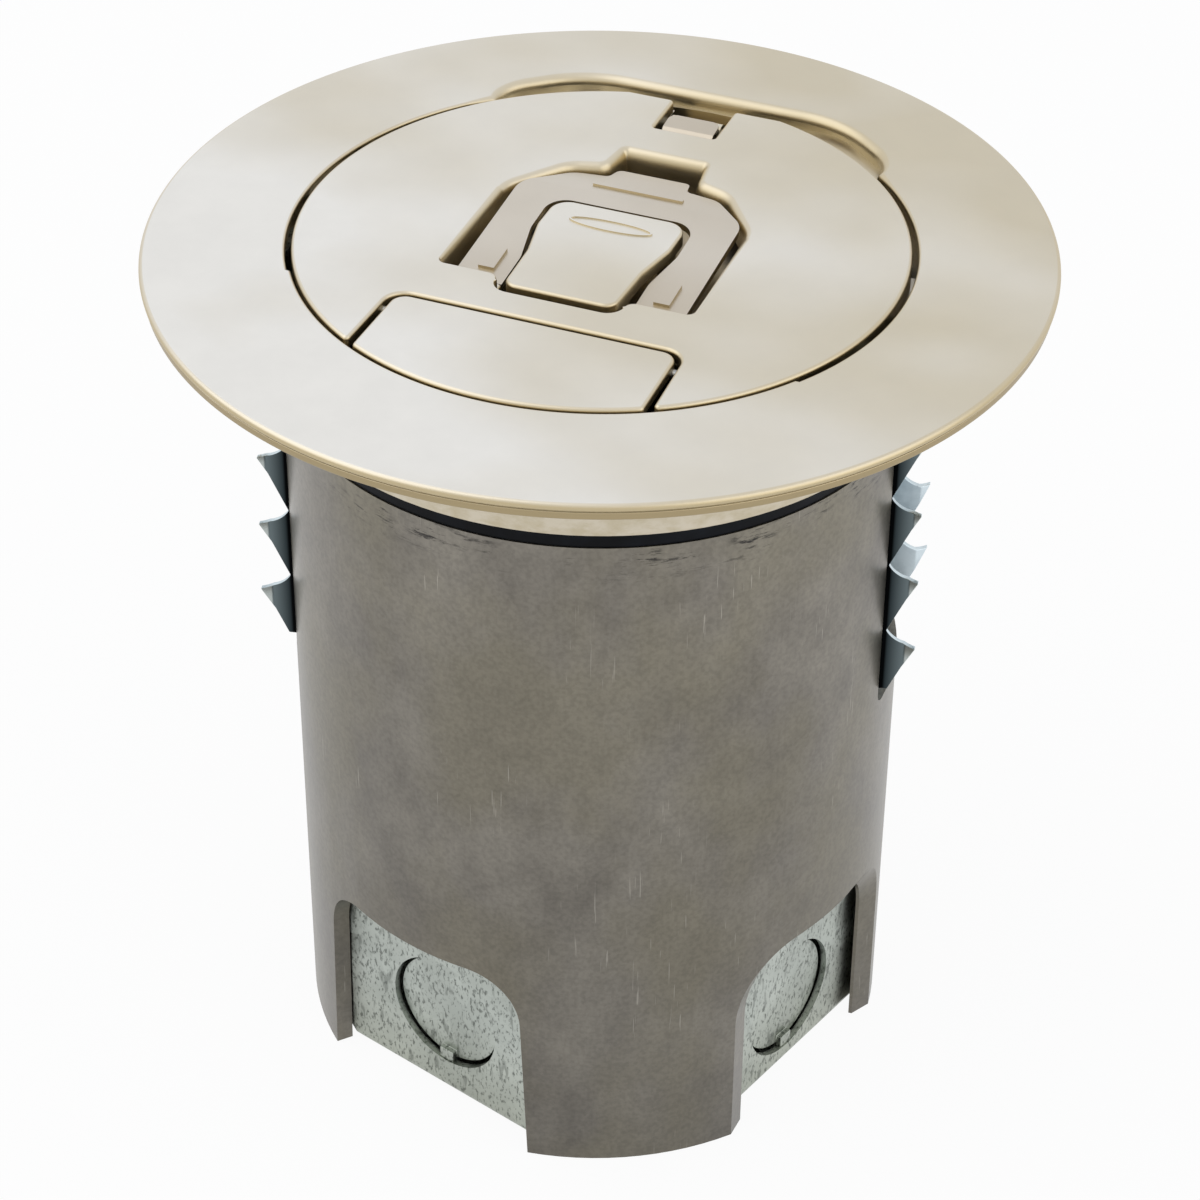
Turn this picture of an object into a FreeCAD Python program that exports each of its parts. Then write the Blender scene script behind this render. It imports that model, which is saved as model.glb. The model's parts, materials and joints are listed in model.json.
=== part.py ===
import FreeCAD, Part
import math
import os

# Round floor socket box. Origin on the body axis at the finished floor, where the flange seats.
# +X right, -Y front (the cable door side), +Z up. Millimetres.

# Cover flange
flange_r = 98.5
flange_top = 4.5
flange_edge_round = 1.3
flange_groove = 1.1
flange_groove_z = 2.5
flange_seat_r = 90.0
flange_web_z = 2.2
neck_overhang = 2.6
neck_wall = 2.6
neck_bottom = -21.5
neck_shoulder = 0.8
neck_lip = 3.0
neck_lip_w = 10.7
opening_web_z = 1.9
bay_side_back = 26.2
bay_rear_back = 1.9
bay_floor_z = 0.6
swing_relief_x = (25.5, 31.8)
swing_gap = 0.4
ledge_z = -1.4
ledge_t = 2.6
ledge_w = 6.2

# Gasket and body
gasket_t = 5.0
gasket_overhang = 0.6
gasket_w = 6.7
body_r = 69.6
body_wall = 4.0
body_h = 176.0
body_turn = -16.7
body_flange_t = 3.0
body_flange_w = 11.6
notch_top_angle = 23.6
notch_foot_angle = 26.0
notch_h = 54.0
notch_corner_r = 14.5
bevel_in_angles = (-20.2, 20.6)
bevel_h = 4.2
bevel_depth = 3.2
bevel_w = 4.6
clip_turn = 30.0
window_half_w = 19.5
window_top = -27.4
window_bottom = -99.0

# Retaining clips
clip_base_back = 7.0
clip_half_w = 18.7
clip_sheet = 1.2
clip_bend_out = 1.9
clip_tip_out = 3.6
clip_valley_back = 3.1
clip_lean = 0.38
clip_tip_slope = 30.0
clip_top = -27.8
clip_bottom = -94.6
tooth_first_z = -28.1
tooth_pitch = 17.85
tooth_back = 3.4
tooth_count = 4
clip_travel = 4.85
guide_pin_r = 2.0
guide_pin_zs = (-46.0, -79.0)
pocket_sheet = 1.2
leaf_t = 0.5

# Lid
lid_back = 5.6
lid_centre_y = 1.0
lid_rear_back = 1.6
lid_gap = 0.6
lid_side_gap = 1.6
lid_top = 4.9
lid_t = 3.0
lid_rim_w = 3.0
lid_rim_bottom = -1.1
lid_edge_round = 0.9
recess_half_w = 28.6
recess_front_y = -20.7
finger_depth = 8.6
finger_half_w = 10.0
tongue_bay_half_w = 14.2
tongue_bay_front_y = -26.6
hinge_notch_half_w = 7.3
hinge_notch_reach = 8.8
hinge_back = 6.6
hinge_z = 0.9
hinge_pin_r = 1.5
hinge_barrel_r = 2.5
lid_knuckle_r = 2.9
hinge_pin_half = 23.0
hinge_foot_back = 7.2
leaf_reach = 7.8
leaf_rivet_back = 4.6
leaf_rivet_x = 8.0
detent_t = 0.8
detent_tip_back = 0.8
detent_tip_top = 4.4
detent_rise_y = 2.9
run_clear = 0.05
side_clear = 0.3

# Cable door
door_half_w = 31.6
door_gap = 1.2
door_rear_y = -35.9
door_rear_gap = 1.0
door_corner_r = 3.5
door_pin_y = -40.0
door_pin_drop = 2.4
door_pin_r = 1.0
door_boss_r = 2.1
door_wall_w = 3.4
door_wall_bottom = -1.1

# Lift handle, release paddle and the pan that carries them
handle_half_w = 25.4
handle_t = 1.5
handle_pivot_y = -18.2
handle_pivot_z = -0.6
handle_front_y = -19.7
handle_front_top = 1.5
handle_bend_y = 19.0
handle_bend_top = 4.7
handle_rear_gap = 7.2
handle_rear_top = 2.9
handle_open_gap = 1.5
handle_open_rear_y = 14.3
handle_pin_r = 1.2
handle_ear_r = 2.0
pad_half_w = 1.8
pad_x = 20.0
pad_y = (-15.6, -8.0)
pad_rise = 0.7
rib_half_w = 10.5
rib_y = 22.8
rib_rise = 0.5
paddle_front_y = -24.2
paddle_rear_y = 13.3
paddle_front_half_w = 12.6
paddle_waist_half_w = 13.2
paddle_waist_y = -9.0
paddle_rear_half_w = 15.4
paddle_shoulder_y = 2.0
paddle_t = 1.6
paddle_skirt = 3.2
paddle_skirt_wall = 1.4
paddle_pin_y = 8.0
paddle_pin_z = -0.8
paddle_pin_r = 1.0
oval_half_w = 9.6
oval_half_d = 2.2
oval_y = 6.2
oval_rise = 0.3
oval_rim_w = 0.5
pan_half_w = 31.2
pan_front_y = -28.8
pan_rear_gap = 1.4
pan_bottom = -7.6
pan_sheet = 1.2

# Latch bolts and strikes
bolt_y = -14.0
bolt_w = 7.0
bolt_t = 2.0
bolt_end_back = 1.1
bolt_hook_x = 6.0
hook_foot = 2.0
hook_top = 0.5
bolt_travel = 2.1
guide_back = 14.6
guide_length = 8.0
bolt_spring_r = 1.5

# Socket pan and outlets
well_gap = 2.5
well_sheet = 1.2
well_floor = -56.0
well_lip_back = 7.1
well_screw_back = 9.2
well_screw_turns = (45.0, 165.0, 285.0)
outlet_half_w = 33.5
outlet_half_d = 16.5
outlet_y = 20.0
outlet_rise = 2.5
outlet_depth = 26.0
outlet_xs = (-17.0, 17.0)
strap_half_w = 44.0
strap_half_d = 12.0
data_y = -22.0
data_half_d = 13.0
jack_x = 15.0
jack_half_w = 8.0
jack_half_d = 9.0
data_screw_x = 28.0
earth_back = 10.5
earth_y = 5.5
divider_y = 0.0
divider_t = 1.2
divider_top = -16.0

# Junction box and partition
box_flat_back = 6.2
box_round_gap = 0.4
box_screw_back = 8.7
box_lug_r = 6.0
box_screw_r = 1.7
box_sheet = 1.6
box_edge_round = 3.0
box_bottom_gap = 0.7
box_h = 54.3
knockout_r = 15.3
knockout_gap = 0.9
knockout_push = 1.7
knockout_tab_w = 4.0
# Offset along each face and height of its knockout, faces in turn from the right-hand one
knockouts = ((-0.5, -181.2), (0.0, -176.8), (0.0, -181.2), (2.0, -176.8))
partition_t = 2.0
grommet_r = 16.0
grommet_wall = 2.5

# Fasteners
cover_screw_r = 2.0
cover_screw_back = 7.2
cover_screw_turns = (40.0, 140.0, 220.0, 320.0)
small_screw_r = 1.5
head_ratio = 1.75

# Sizes that follow
neck_r = body_r + neck_overhang
neck_lip_r = neck_r - neck_lip_w
cover_screw_rho = neck_r - cover_screw_back
bay_half_w = neck_r - bay_side_back
bay_rear_y = neck_r - bay_rear_back
gasket_r = body_r + gasket_overhang
gasket_bore_r = gasket_r - gasket_w
body_flange_bore_r = body_r - body_flange_w
clip_base_rho = body_r - clip_base_back
clip_bend_rho = body_r + clip_bend_out
clip_tip_rho = body_r + clip_tip_out
clip_valley_rho = body_r - clip_valley_back
lid_r = neck_r - lid_back
lid_rear_y = lid_r - lid_rear_back
hinge_y = lid_r - hinge_back
hinge_foot_y = neck_r - hinge_foot_back
hinge_notch_front_y = hinge_y - hinge_notch_reach
leaf_front_y = hinge_notch_front_y - leaf_reach
pan_rear_y = leaf_front_y - pan_rear_gap
finger_rear_y = pan_rear_y - 1.5 * pan_sheet
recess_rear_y = finger_rear_y - finger_depth
handle_rear_y = finger_rear_y - handle_rear_gap
bolt_end_x = lid_r - bolt_end_back
guide_x = (lid_r - guide_back - guide_length, lid_r - guide_back)
well_r = body_flange_bore_r - well_gap
well_lip_r = body_r - well_lip_back
well_screw_rho = body_r - well_screw_back
box_flat = body_r - body_wall - box_flat_back
box_round_r = body_r - body_wall - box_round_gap
box_screw_rho = box_round_r - box_screw_back
earth_x = earth_back - well_r

# Heights that follow
body_top = neck_bottom - gasket_t
body_bottom = body_top - body_h
neck_inner_r = neck_r - neck_wall
body_inner_r = body_r - body_wall
lid_under = lid_top - lid_t
door_pin_z = lid_top - door_pin_drop
pan_floor = pan_bottom + pan_sheet
bolt_bottom = pan_floor + side_clear
bolt_top = bolt_bottom + bolt_t
box_bottom = body_bottom + box_bottom_gap
box_top = box_bottom + box_h

UP = FreeCAD.Vector(0, 0, 1)


def vec(x, y, z=0.0):
    return FreeCAD.Vector(x, y, z)


def disc(r, z0, z1, x=0.0, y=0.0):
    return Part.makeCylinder(r, z1 - z0, vec(x, y, z0))


def ring(r_out, r_in, z0, z1):
    return disc(r_out, z0, z1).cut(disc(r_in, z0 - 1, z1 + 1))


def block(x0, x1, y0, y1, z0, z1):
    return Part.makeBox(x1 - x0, y1 - y0, z1 - z0, vec(x0, y0, z0))


def rod(r, start, end):
    axis = end.sub(start)
    return Part.makeCylinder(r, axis.Length, start, axis)


def rod_x(r, x0, x1, y, z):
    return rod(r, vec(x0, y, z), vec(x1, y, z))


def turned(shape, degrees):
    copy = shape.copy()
    copy.rotate(vec(0, 0), UP, degrees)
    return copy


def mirrored(shape):
    return shape.mirror(vec(0, 0), vec(1, 0))


def joined(*shapes):
    return shapes[0].multiFuse(list(shapes[1:])).removeSplitter()


def rounded_wire(corners):
    """Closed outline through (x, y, radius) corners, each turned by a tangent arc."""
    edges = []
    last = None
    first = None
    count = len(corners)
    for i, (x, y, r) in enumerate(corners):
        here = vec(x, y)
        to_prev = vec(*corners[i - 1][:2]).sub(here).normalize()
        to_next = vec(*corners[(i + 1) % count][:2]).sub(here).normalize()
        half = to_prev.getAngle(to_next) / 2
        if r > 0:
            reach = r / math.tan(half)
            start = here.add(to_prev * reach)
            end = here.add(to_next * reach)
            bisector = to_prev.add(to_next).normalize()
            middle = here.add(bisector * (r / math.sin(half) - r))
        else:
            start = end = here
        if last is not None:
            edges.append(Part.LineSegment(last, start).toShape())
        else:
            first = start
        if r > 0:
            edges.append(Part.Arc(start, middle, end).toShape())
        last = end
    if last.sub(first).Length > 1e-6:
        edges.append(Part.LineSegment(last, first).toShape())
    return Part.Wire(edges)


def prism(corners, z0, z1):
    face = Part.Face(rounded_wire(corners))
    face.translate(vec(0, 0, z0))
    return face.extrude(vec(0, 0, z1 - z0))


def plain_prism(points, direction):
    wire = Part.makePolygon(list(points) + [points[0]])
    return Part.Face(wire).extrude(direction)


def side_prism(yz_points, x0, x1):
    """Side profile in Y and Z, drawn out along X."""
    return plain_prism([vec(x0, y, z) for y, z in yz_points], vec(x1 - x0, 0, 0))


def front_prism(xz_points, y0, y1):
    """Front profile in X and Z, drawn out along Y."""
    return plain_prism([vec(x, y0, z) for x, z in xz_points], vec(0, y1 - y0, 0))


def mirrored_corners(right_side):
    """Closed symmetrical outline from its right-hand corners, front to rear."""
    left_side = [(-x, y, r) for x, y, r in reversed(right_side)]
    return list(right_side) + left_side


def pan_head_screw(x, y, head_z, r, length, down=True):
    """Cross-recessed pan head screw standing along Z, its head seated at head_z."""
    sign = -1 if down else 1
    head = rod(r * head_ratio, vec(x, y, head_z), vec(x, y, head_z - sign * r * 1.1))
    shank = rod(r, vec(x, y, head_z), vec(x, y, head_z + sign * length))
    cross_z = head_z - sign * r * 1.1
    low, high = min(cross_z, cross_z + sign * r * 0.5), max(cross_z, cross_z + sign * r * 0.5)
    arm, half = r * 0.95, r * 0.2
    cross = block(x - arm, x + arm, y - half, y + half, low, high).fuse(
        block(x - half, x + half, y - arm, y + arm, low, high))
    return joined(head, shank).cut(cross)


def screw_hole(x, y, z0, z1, r):
    return disc(r, z0, z1, x, y)


def coil_spring(start, axis, length, radius, wire_r, pitch):
    """Open round-wire coil along an axis."""
    helix = Part.makeHelix(pitch, length - 2 * wire_r, radius)
    section = Part.Wire(Part.Circle(vec(radius, 0, 0), vec(0, 1, 0), wire_r).toShape())
    coil = Part.Wire(helix.Edges).makePipeShell([section], True, True)
    coil.translate(vec(0, 0, wire_r))
    turn = FreeCAD.Rotation(UP, axis)
    coil.Placement = FreeCAD.Placement(start, turn).multiply(coil.Placement)
    return coil


def lid_circle(radius, z0, z1):
    return disc(radius, z0, z1, 0, lid_centre_y)


def opening_space(z0, z1):
    """Hole in the flange for the lid: close at the front arc, wider at the sides."""
    front = lid_circle(lid_r + lid_gap, z0, z1)
    wide = lid_circle(lid_r + lid_side_gap, z0, z1)
    wide = wide.common(block(-flange_r, flange_r, -35.5, flange_r, z0, z1))
    return front.fuse(wide)


def bay_space(z0, z1, grow=0.0):
    """Bay behind the hinge that the rear of the lid swings into."""
    side = bay_half_w + grow
    right = [(side, bay_rear_y - 30.3, 0), (side, bay_rear_y - 12.8, 8),
             (bay_half_w - 15.0 + grow, bay_rear_y + grow, 12)]
    return prism(mirrored_corners(right), z0, z1)


def cover_flange():
    r0, top = flange_r, flange_top
    e = flange_edge_round
    inner = 50.0
    k = e * (1 - math.sqrt(0.5))
    points = [
        vec(inner, 0, top), vec(r0 - e, 0, top), vec(r0, 0, top - e),
        vec(r0, 0, flange_groove_z), vec(r0 - flange_groove, 0, flange_groove_z - 0.4),
        vec(r0 - flange_groove, 0, 0.9), vec(r0 - flange_groove - 0.9, 0, 0),
        vec(flange_seat_r, 0, 0), vec(flange_seat_r - 1, 0, flange_web_z),
        vec(neck_r + neck_shoulder, 0, flange_web_z), vec(neck_r + neck_shoulder, 0, 0),
        vec(neck_r, 0, 0), vec(neck_r, 0, neck_bottom),
        vec(neck_lip_r, 0, neck_bottom), vec(neck_lip_r, 0, neck_bottom + neck_lip),
        vec(neck_inner_r, 0, neck_bottom + neck_lip), vec(neck_inner_r, 0, opening_web_z),
        vec(inner, 0, opening_web_z)]
    edges = []
    for i, start in enumerate(points):
        end = points[(i + 1) % len(points)]
        if i == 1:
            edges.append(Part.Arc(start, vec(r0 - k, 0, top - k), end).toShape())
        else:
            edges.append(Part.LineSegment(start, end).toShape())
    body = Part.Face(Part.Wire(edges)).revolve(vec(0, 0), UP, 360)
    bay_block = ring(neck_r + 6.8, neck_r - neck_wall, 0, flange_web_z)
    bay_block = bay_block.common(block(-bay_half_w - 2, bay_half_w + 2, 45, flange_r, -9, 9))
    body = body.fuse(bay_block)
    for angle in (10.0, 170.0, 222.0, 318.0):
        pad = ring(neck_inner_r + 0.4, neck_inner_r - ledge_w, ledge_z - ledge_t, ledge_z)
        pad = pad.common(block(0, flange_r, -9, 9, -9, 0))
        body = body.fuse(turned(pad, angle))
    body = body.cut(opening_space(opening_web_z - 1, top + 1))
    body = body.cut(bay_space(bay_floor_z, top + 1))
    swing_y = hinge_y + lid_top - hinge_z + swing_gap
    relief = block(swing_relief_x[0], swing_relief_x[1], hinge_y, swing_y, bay_floor_z - 2.3, bay_floor_z + 0.1)
    body = body.cut(relief).cut(mirrored(relief))
    for angle in cover_screw_turns:
        hole = disc(cover_screw_r + 0.3, neck_bottom - 1, neck_bottom + neck_lip + 1, cover_screw_rho, 0)
        body = body.cut(turned(hole, angle))
    for x in (-10.0, 10.0):
        body = body.cut(screw_hole(x, hinge_foot_y, neck_bottom - 1, neck_bottom + neck_lip + 1, small_screw_r))
    return body.removeSplitter()


def flange_gasket():
    body = ring(gasket_r, gasket_bore_r, body_top, neck_bottom)
    for angle in cover_screw_turns:
        body = body.cut(turned(disc(cover_screw_r + 0.5, body_top - 1, neck_bottom + 1, cover_screw_rho), angle))
    for x in (-10.0, 10.0):
        body = body.cut(screw_hole(x, hinge_foot_y, body_top - 1, neck_bottom + 1, small_screw_r + 0.4))
    return body


def radial_tool(top, foot_angles, top_angles, corner_r):
    """Cutter for a skirt notch: its sides lie on radial planes and spread towards the foot."""
    wires = []
    for x in (40.0, 90.0):
        low = body_bottom - 20
        y = [x * math.tan(math.radians(a)) for a in foot_angles + top_angles]
        wire = rounded_wire([(y[1], low, 0), (y[3], top, corner_r), (y[2], top, corner_r), (y[0], low, 0)])
        wire.rotate(vec(0, 0), vec(1, 0), 90)
        wire.rotate(vec(0, 0), UP, 90)
        wire.translate(vec(x, 0, 0))
        wires.append(wire)
    return Part.makeLoft(wires, True, True)


def bevelled_notch(body):
    """Notch on the right: narrower, with a broad bevel ground along its left side and top."""
    top = body_bottom + notch_h
    angles = bevel_in_angles
    body = body.cut(radial_tool(top - bevel_h, angles, angles, notch_corner_r))
    edges = []
    for e in body.Edges:
        mid = e.valueAt((e.FirstParameter + e.LastParameter) / 2)
        angle = math.degrees(math.atan2(mid.y, mid.x))
        outer = abs(math.hypot(mid.x, mid.y) - body_r) < 0.01
        if outer and angles[0] - 1 < angle < angles[1] - 8 and body_bottom + 0.5 < mid.z < top:
            edges.append(e)
    return body.makeChamfer(bevel_w, bevel_depth, edges)


def window_tool():
    """Cutter for a clip window; it also relieves the top flange for the clip."""
    inside = clip_base_rho - clip_travel - leaf_t - 0.3
    w = window_half_w
    wire = rounded_wire([(w, window_bottom, 3), (w, window_top, 1.0), (-w, window_top, 1.0), (-w, window_bottom, 3)])
    tool = Part.Face(wire).extrude(vec(0, 0, 30))
    tool.rotate(vec(0, 0), vec(1, 0), 90)
    tool.rotate(vec(0, 0), UP, 90)
    tool.translate(vec(inside, 0, 0))
    return tool


def body_shell():
    body = ring(body_r, body_inner_r, body_bottom, body_top)
    body = bevelled_notch(body)
    body = body.fuse(ring(body_inner_r + 0.5, body_flange_bore_r, body_top - body_flange_t, body_top))
    foot = (-notch_foot_angle, notch_foot_angle)
    tool = radial_tool(body_bottom + notch_h, foot, (-notch_top_angle, notch_top_angle), notch_corner_r)
    for quarter in (1, 2, 3):
        body = body.cut(turned(tool, 90 * quarter))
    for half in range(2):
        body = body.cut(turned(window_tool(), clip_turn + 180 * half))
    body = turned(body, body_turn)
    for angle in cover_screw_turns:
        body = body.cut(turned(disc(cover_screw_r, body_top - 9, body_top + 1, cover_screw_rho), angle))
    for angle in well_screw_turns:
        body = body.cut(turned(disc(small_screw_r, body_top - 9, body_top + 1, well_screw_rho), angle))
    for x in (-10.0, 10.0):
        body = body.cut(screw_hole(x, hinge_foot_y, body_top - 9, body_top + 1, small_screw_r + 0.4))
    return body.removeSplitter()


def clip_turns():
    return (body_turn + clip_turn, body_turn + clip_turn + 180)


def clip_pocket():
    """Open-fronted steel pocket behind a clip window."""
    half = window_half_w + pocket_sheet + 0.1
    back = clip_base_rho - clip_travel - leaf_t - 0.3
    outer = block(back - pocket_sheet, body_r, -half, half, window_bottom - 2, body_top - body_flange_t)
    inner = block(back, body_r, -half + pocket_sheet, half - pocket_sheet, window_bottom - 2 + pocket_sheet, 0)
    pocket = outer.cut(inner).common(disc(body_inner_r, -300, 0))
    for z in guide_pin_zs:
        pocket = pocket.cut(rod_x(guide_pin_r - 0.6, 40, 70, 0, z))
    return pocket


def retaining_clip():
    """Wide channel of spring steel with a saw-tooth flange each side, tips bent outwards."""
    w, s = clip_half_w, clip_sheet
    slope = math.radians(clip_tip_slope)
    lead = s * math.tan(slope / 2)
    last_rho = clip_tip_rho + clip_lean * (tooth_count - 1)
    tip_y = w + (last_rho - clip_bend_rho) * math.tan(slope)
    outline = [(clip_base_rho, w), (clip_bend_rho, w), (last_rho, tip_y),
               (last_rho + s * math.sin(slope), tip_y - s * math.cos(slope)), (clip_bend_rho + lead, w - s),
               (clip_base_rho + s, w - s)]
    points = outline + [(x, -y) for x, y in reversed(outline)]
    channel = plain_prism([vec(x, y, clip_bottom) for x, y in points], vec(0, 0, clip_top - clip_bottom))
    far = last_rho + 10
    drop = tooth_pitch - tooth_back
    for k in range(-1, tooth_count):
        tip_z = tooth_first_z - k * tooth_pitch
        tip_rho = clip_tip_rho + clip_lean * k
        valley = vec(clip_valley_rho + clip_lean * (k + 1), -30, tip_z - drop)
        tip, edges = vec(tip_rho, -30, tip_z), []
        if k < tooth_count - 1:
            next_tip = vec(tip_rho + clip_lean, -30, tip_z - tooth_pitch)
            knee = vec(valley.x + 0.37 * (next_tip.x - valley.x), -30, next_tip.z + 0.24 * tooth_back)
            edges = [Part.Arc(valley, knee, next_tip).toShape()]
            low = next_tip
        else:
            low = vec(valley.x, -30, clip_bottom - 1)
            edges = [Part.LineSegment(valley, low).toShape()]
        corner_low, corner_high = vec(far, -30, low.z), vec(far, -30, tip_z)
        edges += [Part.LineSegment(a, b).toShape() for a, b in
                  ((low, corner_low), (corner_low, corner_high), (corner_high, tip), (tip, valley))]
        channel = channel.cut(Part.Face(Part.Wire(edges)).extrude(vec(0, 60, 0)))
    for z in guide_pin_zs:
        channel = channel.cut(rod_x(guide_pin_r + 0.06, 40, 90, 0, z).common(
            block(clip_base_rho - 1, clip_base_rho + s + 1, -9, 9, -200, 0)))
    return channel


def clip_guide_pin(z):
    """Shoulder pin that a clip slides on; its head stops the clip."""
    back = clip_base_rho - clip_travel - leaf_t - 0.3
    head = clip_base_rho + clip_sheet + 0.02
    return joined(rod_x(guide_pin_r - 0.6, back - pocket_sheet, back, 0, z),
                  rod_x(guide_pin_r, back, head, 0, z), rod_x(guide_pin_r * 1.7, head, head + 1.4, 0, z))


def clip_leaf():
    """Bowed leaf between the pocket's back and the clip."""
    back = clip_base_rho - clip_travel - leaf_t - 0.3
    mid_z = sum(guide_pin_zs) / 2
    half = 11.0
    bow = clip_base_rho - leaf_t - back - 0.06
    outer = Part.Arc(vec(back + 0.02, -4, mid_z - half), vec(back + 0.02 + bow, -4, mid_z),
                     vec(back + 0.02, -4, mid_z + half)).toShape()
    inner = Part.Arc(vec(back + 0.02 + leaf_t, -4, mid_z + half), vec(back + 0.02 + bow + leaf_t - 0.02, -4, mid_z),
                     vec(back + 0.02 + leaf_t, -4, mid_z - half)).toShape()
    a, b = outer.Vertexes[-1].Point, inner.Vertexes[0].Point
    c, d = inner.Vertexes[-1].Point, outer.Vertexes[0].Point
    wire = Part.Wire([outer, Part.LineSegment(a, b).toShape(), inner, Part.LineSegment(c, d).toShape()])
    return Part.Face(wire).extrude(vec(0, 8, 0))


def recess_outline():
    """Lid recess: straight sides, curved rear corners, a finger notch and the tongue bay."""
    w = recess_half_w
    right = [(tongue_bay_half_w, tongue_bay_front_y, 3.5), (tongue_bay_half_w, recess_front_y, 0.8),
             (w, recess_front_y, 1.5), (w, recess_rear_y - 16.1, 9), (19.0, recess_rear_y - 2.6, 8),
             (finger_half_w + 1.2, recess_rear_y, 1.5),
             (finger_half_w, finger_rear_y, 1.2)]
    return mirrored_corners(right)


def door_space(z0, z1):
    """Opening in the lid for the cable door, open at the front arc."""
    w = door_half_w + door_gap
    rear = door_rear_y + door_rear_gap
    right = [(w + 1.5, -80.0, 0), (w, rear, door_corner_r + door_gap)]
    return prism(mirrored_corners(right), z0, z1)


def lid():
    plate = lid_circle(lid_r, lid_under, lid_top)
    top_edges = [e for e in plate.Edges if e.Closed and abs(e.BoundBox.ZMin - lid_top) < 1e-6]
    plate = plate.makeFillet(lid_edge_round, top_edges)
    rim = lid_circle(lid_r, lid_rim_bottom, lid_under).cut(lid_circle(lid_r - lid_rim_w, -9, 9))
    rim = rim.cut(block(-34, 34, hinge_y - 14, hinge_y + 20, -9, 9))
    body = plate.fuse(rim)
    side = door_half_w + door_gap
    for sign in (-1, 1):
        x0, x1 = sorted((sign * (side - 1), sign * (side + door_wall_w)))
        wall = block(x0, x1, -57.0, door_rear_y + 0.5, door_wall_bottom, lid_under)
        body = body.fuse(wall)
    front_bar = block(-side, side, door_rear_y + door_rear_gap, door_rear_y + door_rear_gap + 2.5,
                      door_wall_bottom, lid_under)
    body = body.fuse(front_bar)
    body = body.cut(block(-80, 80, lid_rear_y, 90, -20, 20))
    body = body.cut(block(-hinge_notch_half_w, hinge_notch_half_w, hinge_notch_front_y, 90, -20, 20))
    body = body.cut(prism(recess_outline(), lid_rim_bottom - 5, lid_top + 5))
    body = body.cut(door_space(-20, 20))
    for sign in (-1, 1):
        x0, x1 = sorted((sign * (hinge_notch_half_w + 0.2), sign * hinge_pin_half))
        knuckle = rod_x(lid_knuckle_r, x0, x1, hinge_y, hinge_z)
        web = block(x0, x1, hinge_y - lid_knuckle_r, hinge_y + lid_knuckle_r, hinge_z, lid_under + 0.2)
        body = body.fuse(knuckle.fuse(web))
    body = body.cut(rod_x(hinge_pin_r + run_clear, -40, 40, hinge_y, hinge_z))
    body = body.cut(rod_x(door_pin_r, -side - 2.6, side + 2.6, door_pin_y, door_pin_z))
    for x, y in pan_screw_places() + leaf_rivet_places():
        body = body.cut(screw_hole(x, y, lid_under - 1, lid_under + 1.8, 1.0))
    for sign in (-1, 1):
        for y in guide_rivet_ys():
            body = body.cut(screw_hole(sign * sum(guide_x) / 2, y, lid_under - 1, lid_under + 1.8, 1.0))
    return body.removeSplitter()


def pan_screw_places():
    return [(sx * (pan_half_w + 3.0), y) for sx in (-1, 1) for y in (-2.0, 30.0)]


def leaf_rivet_places():
    return [(x, hinge_notch_front_y - leaf_rivet_back) for x in (-leaf_rivet_x, leaf_rivet_x)]


def guide_rivet_ys():
    return (bolt_y - bolt_w / 2 - 2.6, bolt_y + bolt_w / 2 + 2.6)


def lid_seal():
    body = lid_circle(lid_r - lid_rim_w - 0.4, lid_under - 1.5, lid_under)
    body = body.cut(lid_circle(lid_r - lid_rim_w - 4.0, -9, 9))
    body = body.cut(block(-30, 30, hinge_y - 16, hinge_y + 20, -9, 9))
    return body.cut(block(-38, 38, -lid_r - 9, door_pin_y, -9, 9))


def detent_leaf():
    """Spring leaf under the lid; its tongue rises in the notch and ends over the hinge barrel."""
    half = hinge_notch_half_w - 1.2
    tip_y = hinge_y - detent_tip_back
    right = [(leaf_rivet_x + 4, leaf_front_y, 2), (leaf_rivet_x + 4, hinge_notch_front_y - 1.6, 2),
             (half, hinge_notch_front_y - 0.6, 0.5), (half, tip_y, 2)]
    foot_y, bend_y = hinge_notch_front_y + 0.5, hinge_notch_front_y + detent_rise_y
    bend_top = detent_tip_top - 0.5
    side = [(leaf_front_y, lid_under - detent_t), (foot_y + 0.3, lid_under - detent_t),
            (bend_y + 0.3, bend_top - detent_t), (tip_y, detent_tip_top - detent_t), (tip_y, detent_tip_top),
            (bend_y, bend_top), (foot_y, lid_under), (leaf_front_y, lid_under)]
    body = side_prism(side, -leaf_rivet_x - 4, leaf_rivet_x + 4).common(prism(mirrored_corners(right), -9, 9))
    for x, y in leaf_rivet_places():
        body = body.cut(screw_hole(x, y, -9, 9, 1.0))
    return body


def hinge_bracket():
    """Barrel on a web and a foot screwed to the neck's inner lip."""
    half = hinge_notch_half_w - 1.2
    foot_z = neck_bottom + neck_lip
    barrel = rod_x(hinge_barrel_r, -half, half, hinge_y, hinge_z)
    back_y = hinge_foot_y + 2.4
    web = side_prism([(hinge_y, hinge_z), (hinge_y + hinge_barrel_r, hinge_z), (back_y - 2.0, -2.2), (back_y, -6.0),
                      (back_y, foot_z), (back_y - 3.0, foot_z), (back_y - 3.0, -8.0), (back_y - 5.0, -3.4),
                      (hinge_y, -1.6)], -half, half)
    foot = block(-14, 14, back_y - 5.2, back_y, foot_z, foot_z + 2.0)
    body = joined(barrel, web, foot)
    body = body.cut(rod_x(hinge_pin_r, -20, 20, hinge_y, hinge_z))
    for x in (-10.0, 10.0):
        body = body.cut(screw_hole(x, hinge_foot_y, foot_z - 1, foot_z + 4, small_screw_r))
    return body


def door_outline():
    w = door_half_w
    return mirrored_corners([(w + 0.7, -75.0, 0), (w, door_rear_y, door_corner_r)])


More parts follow.
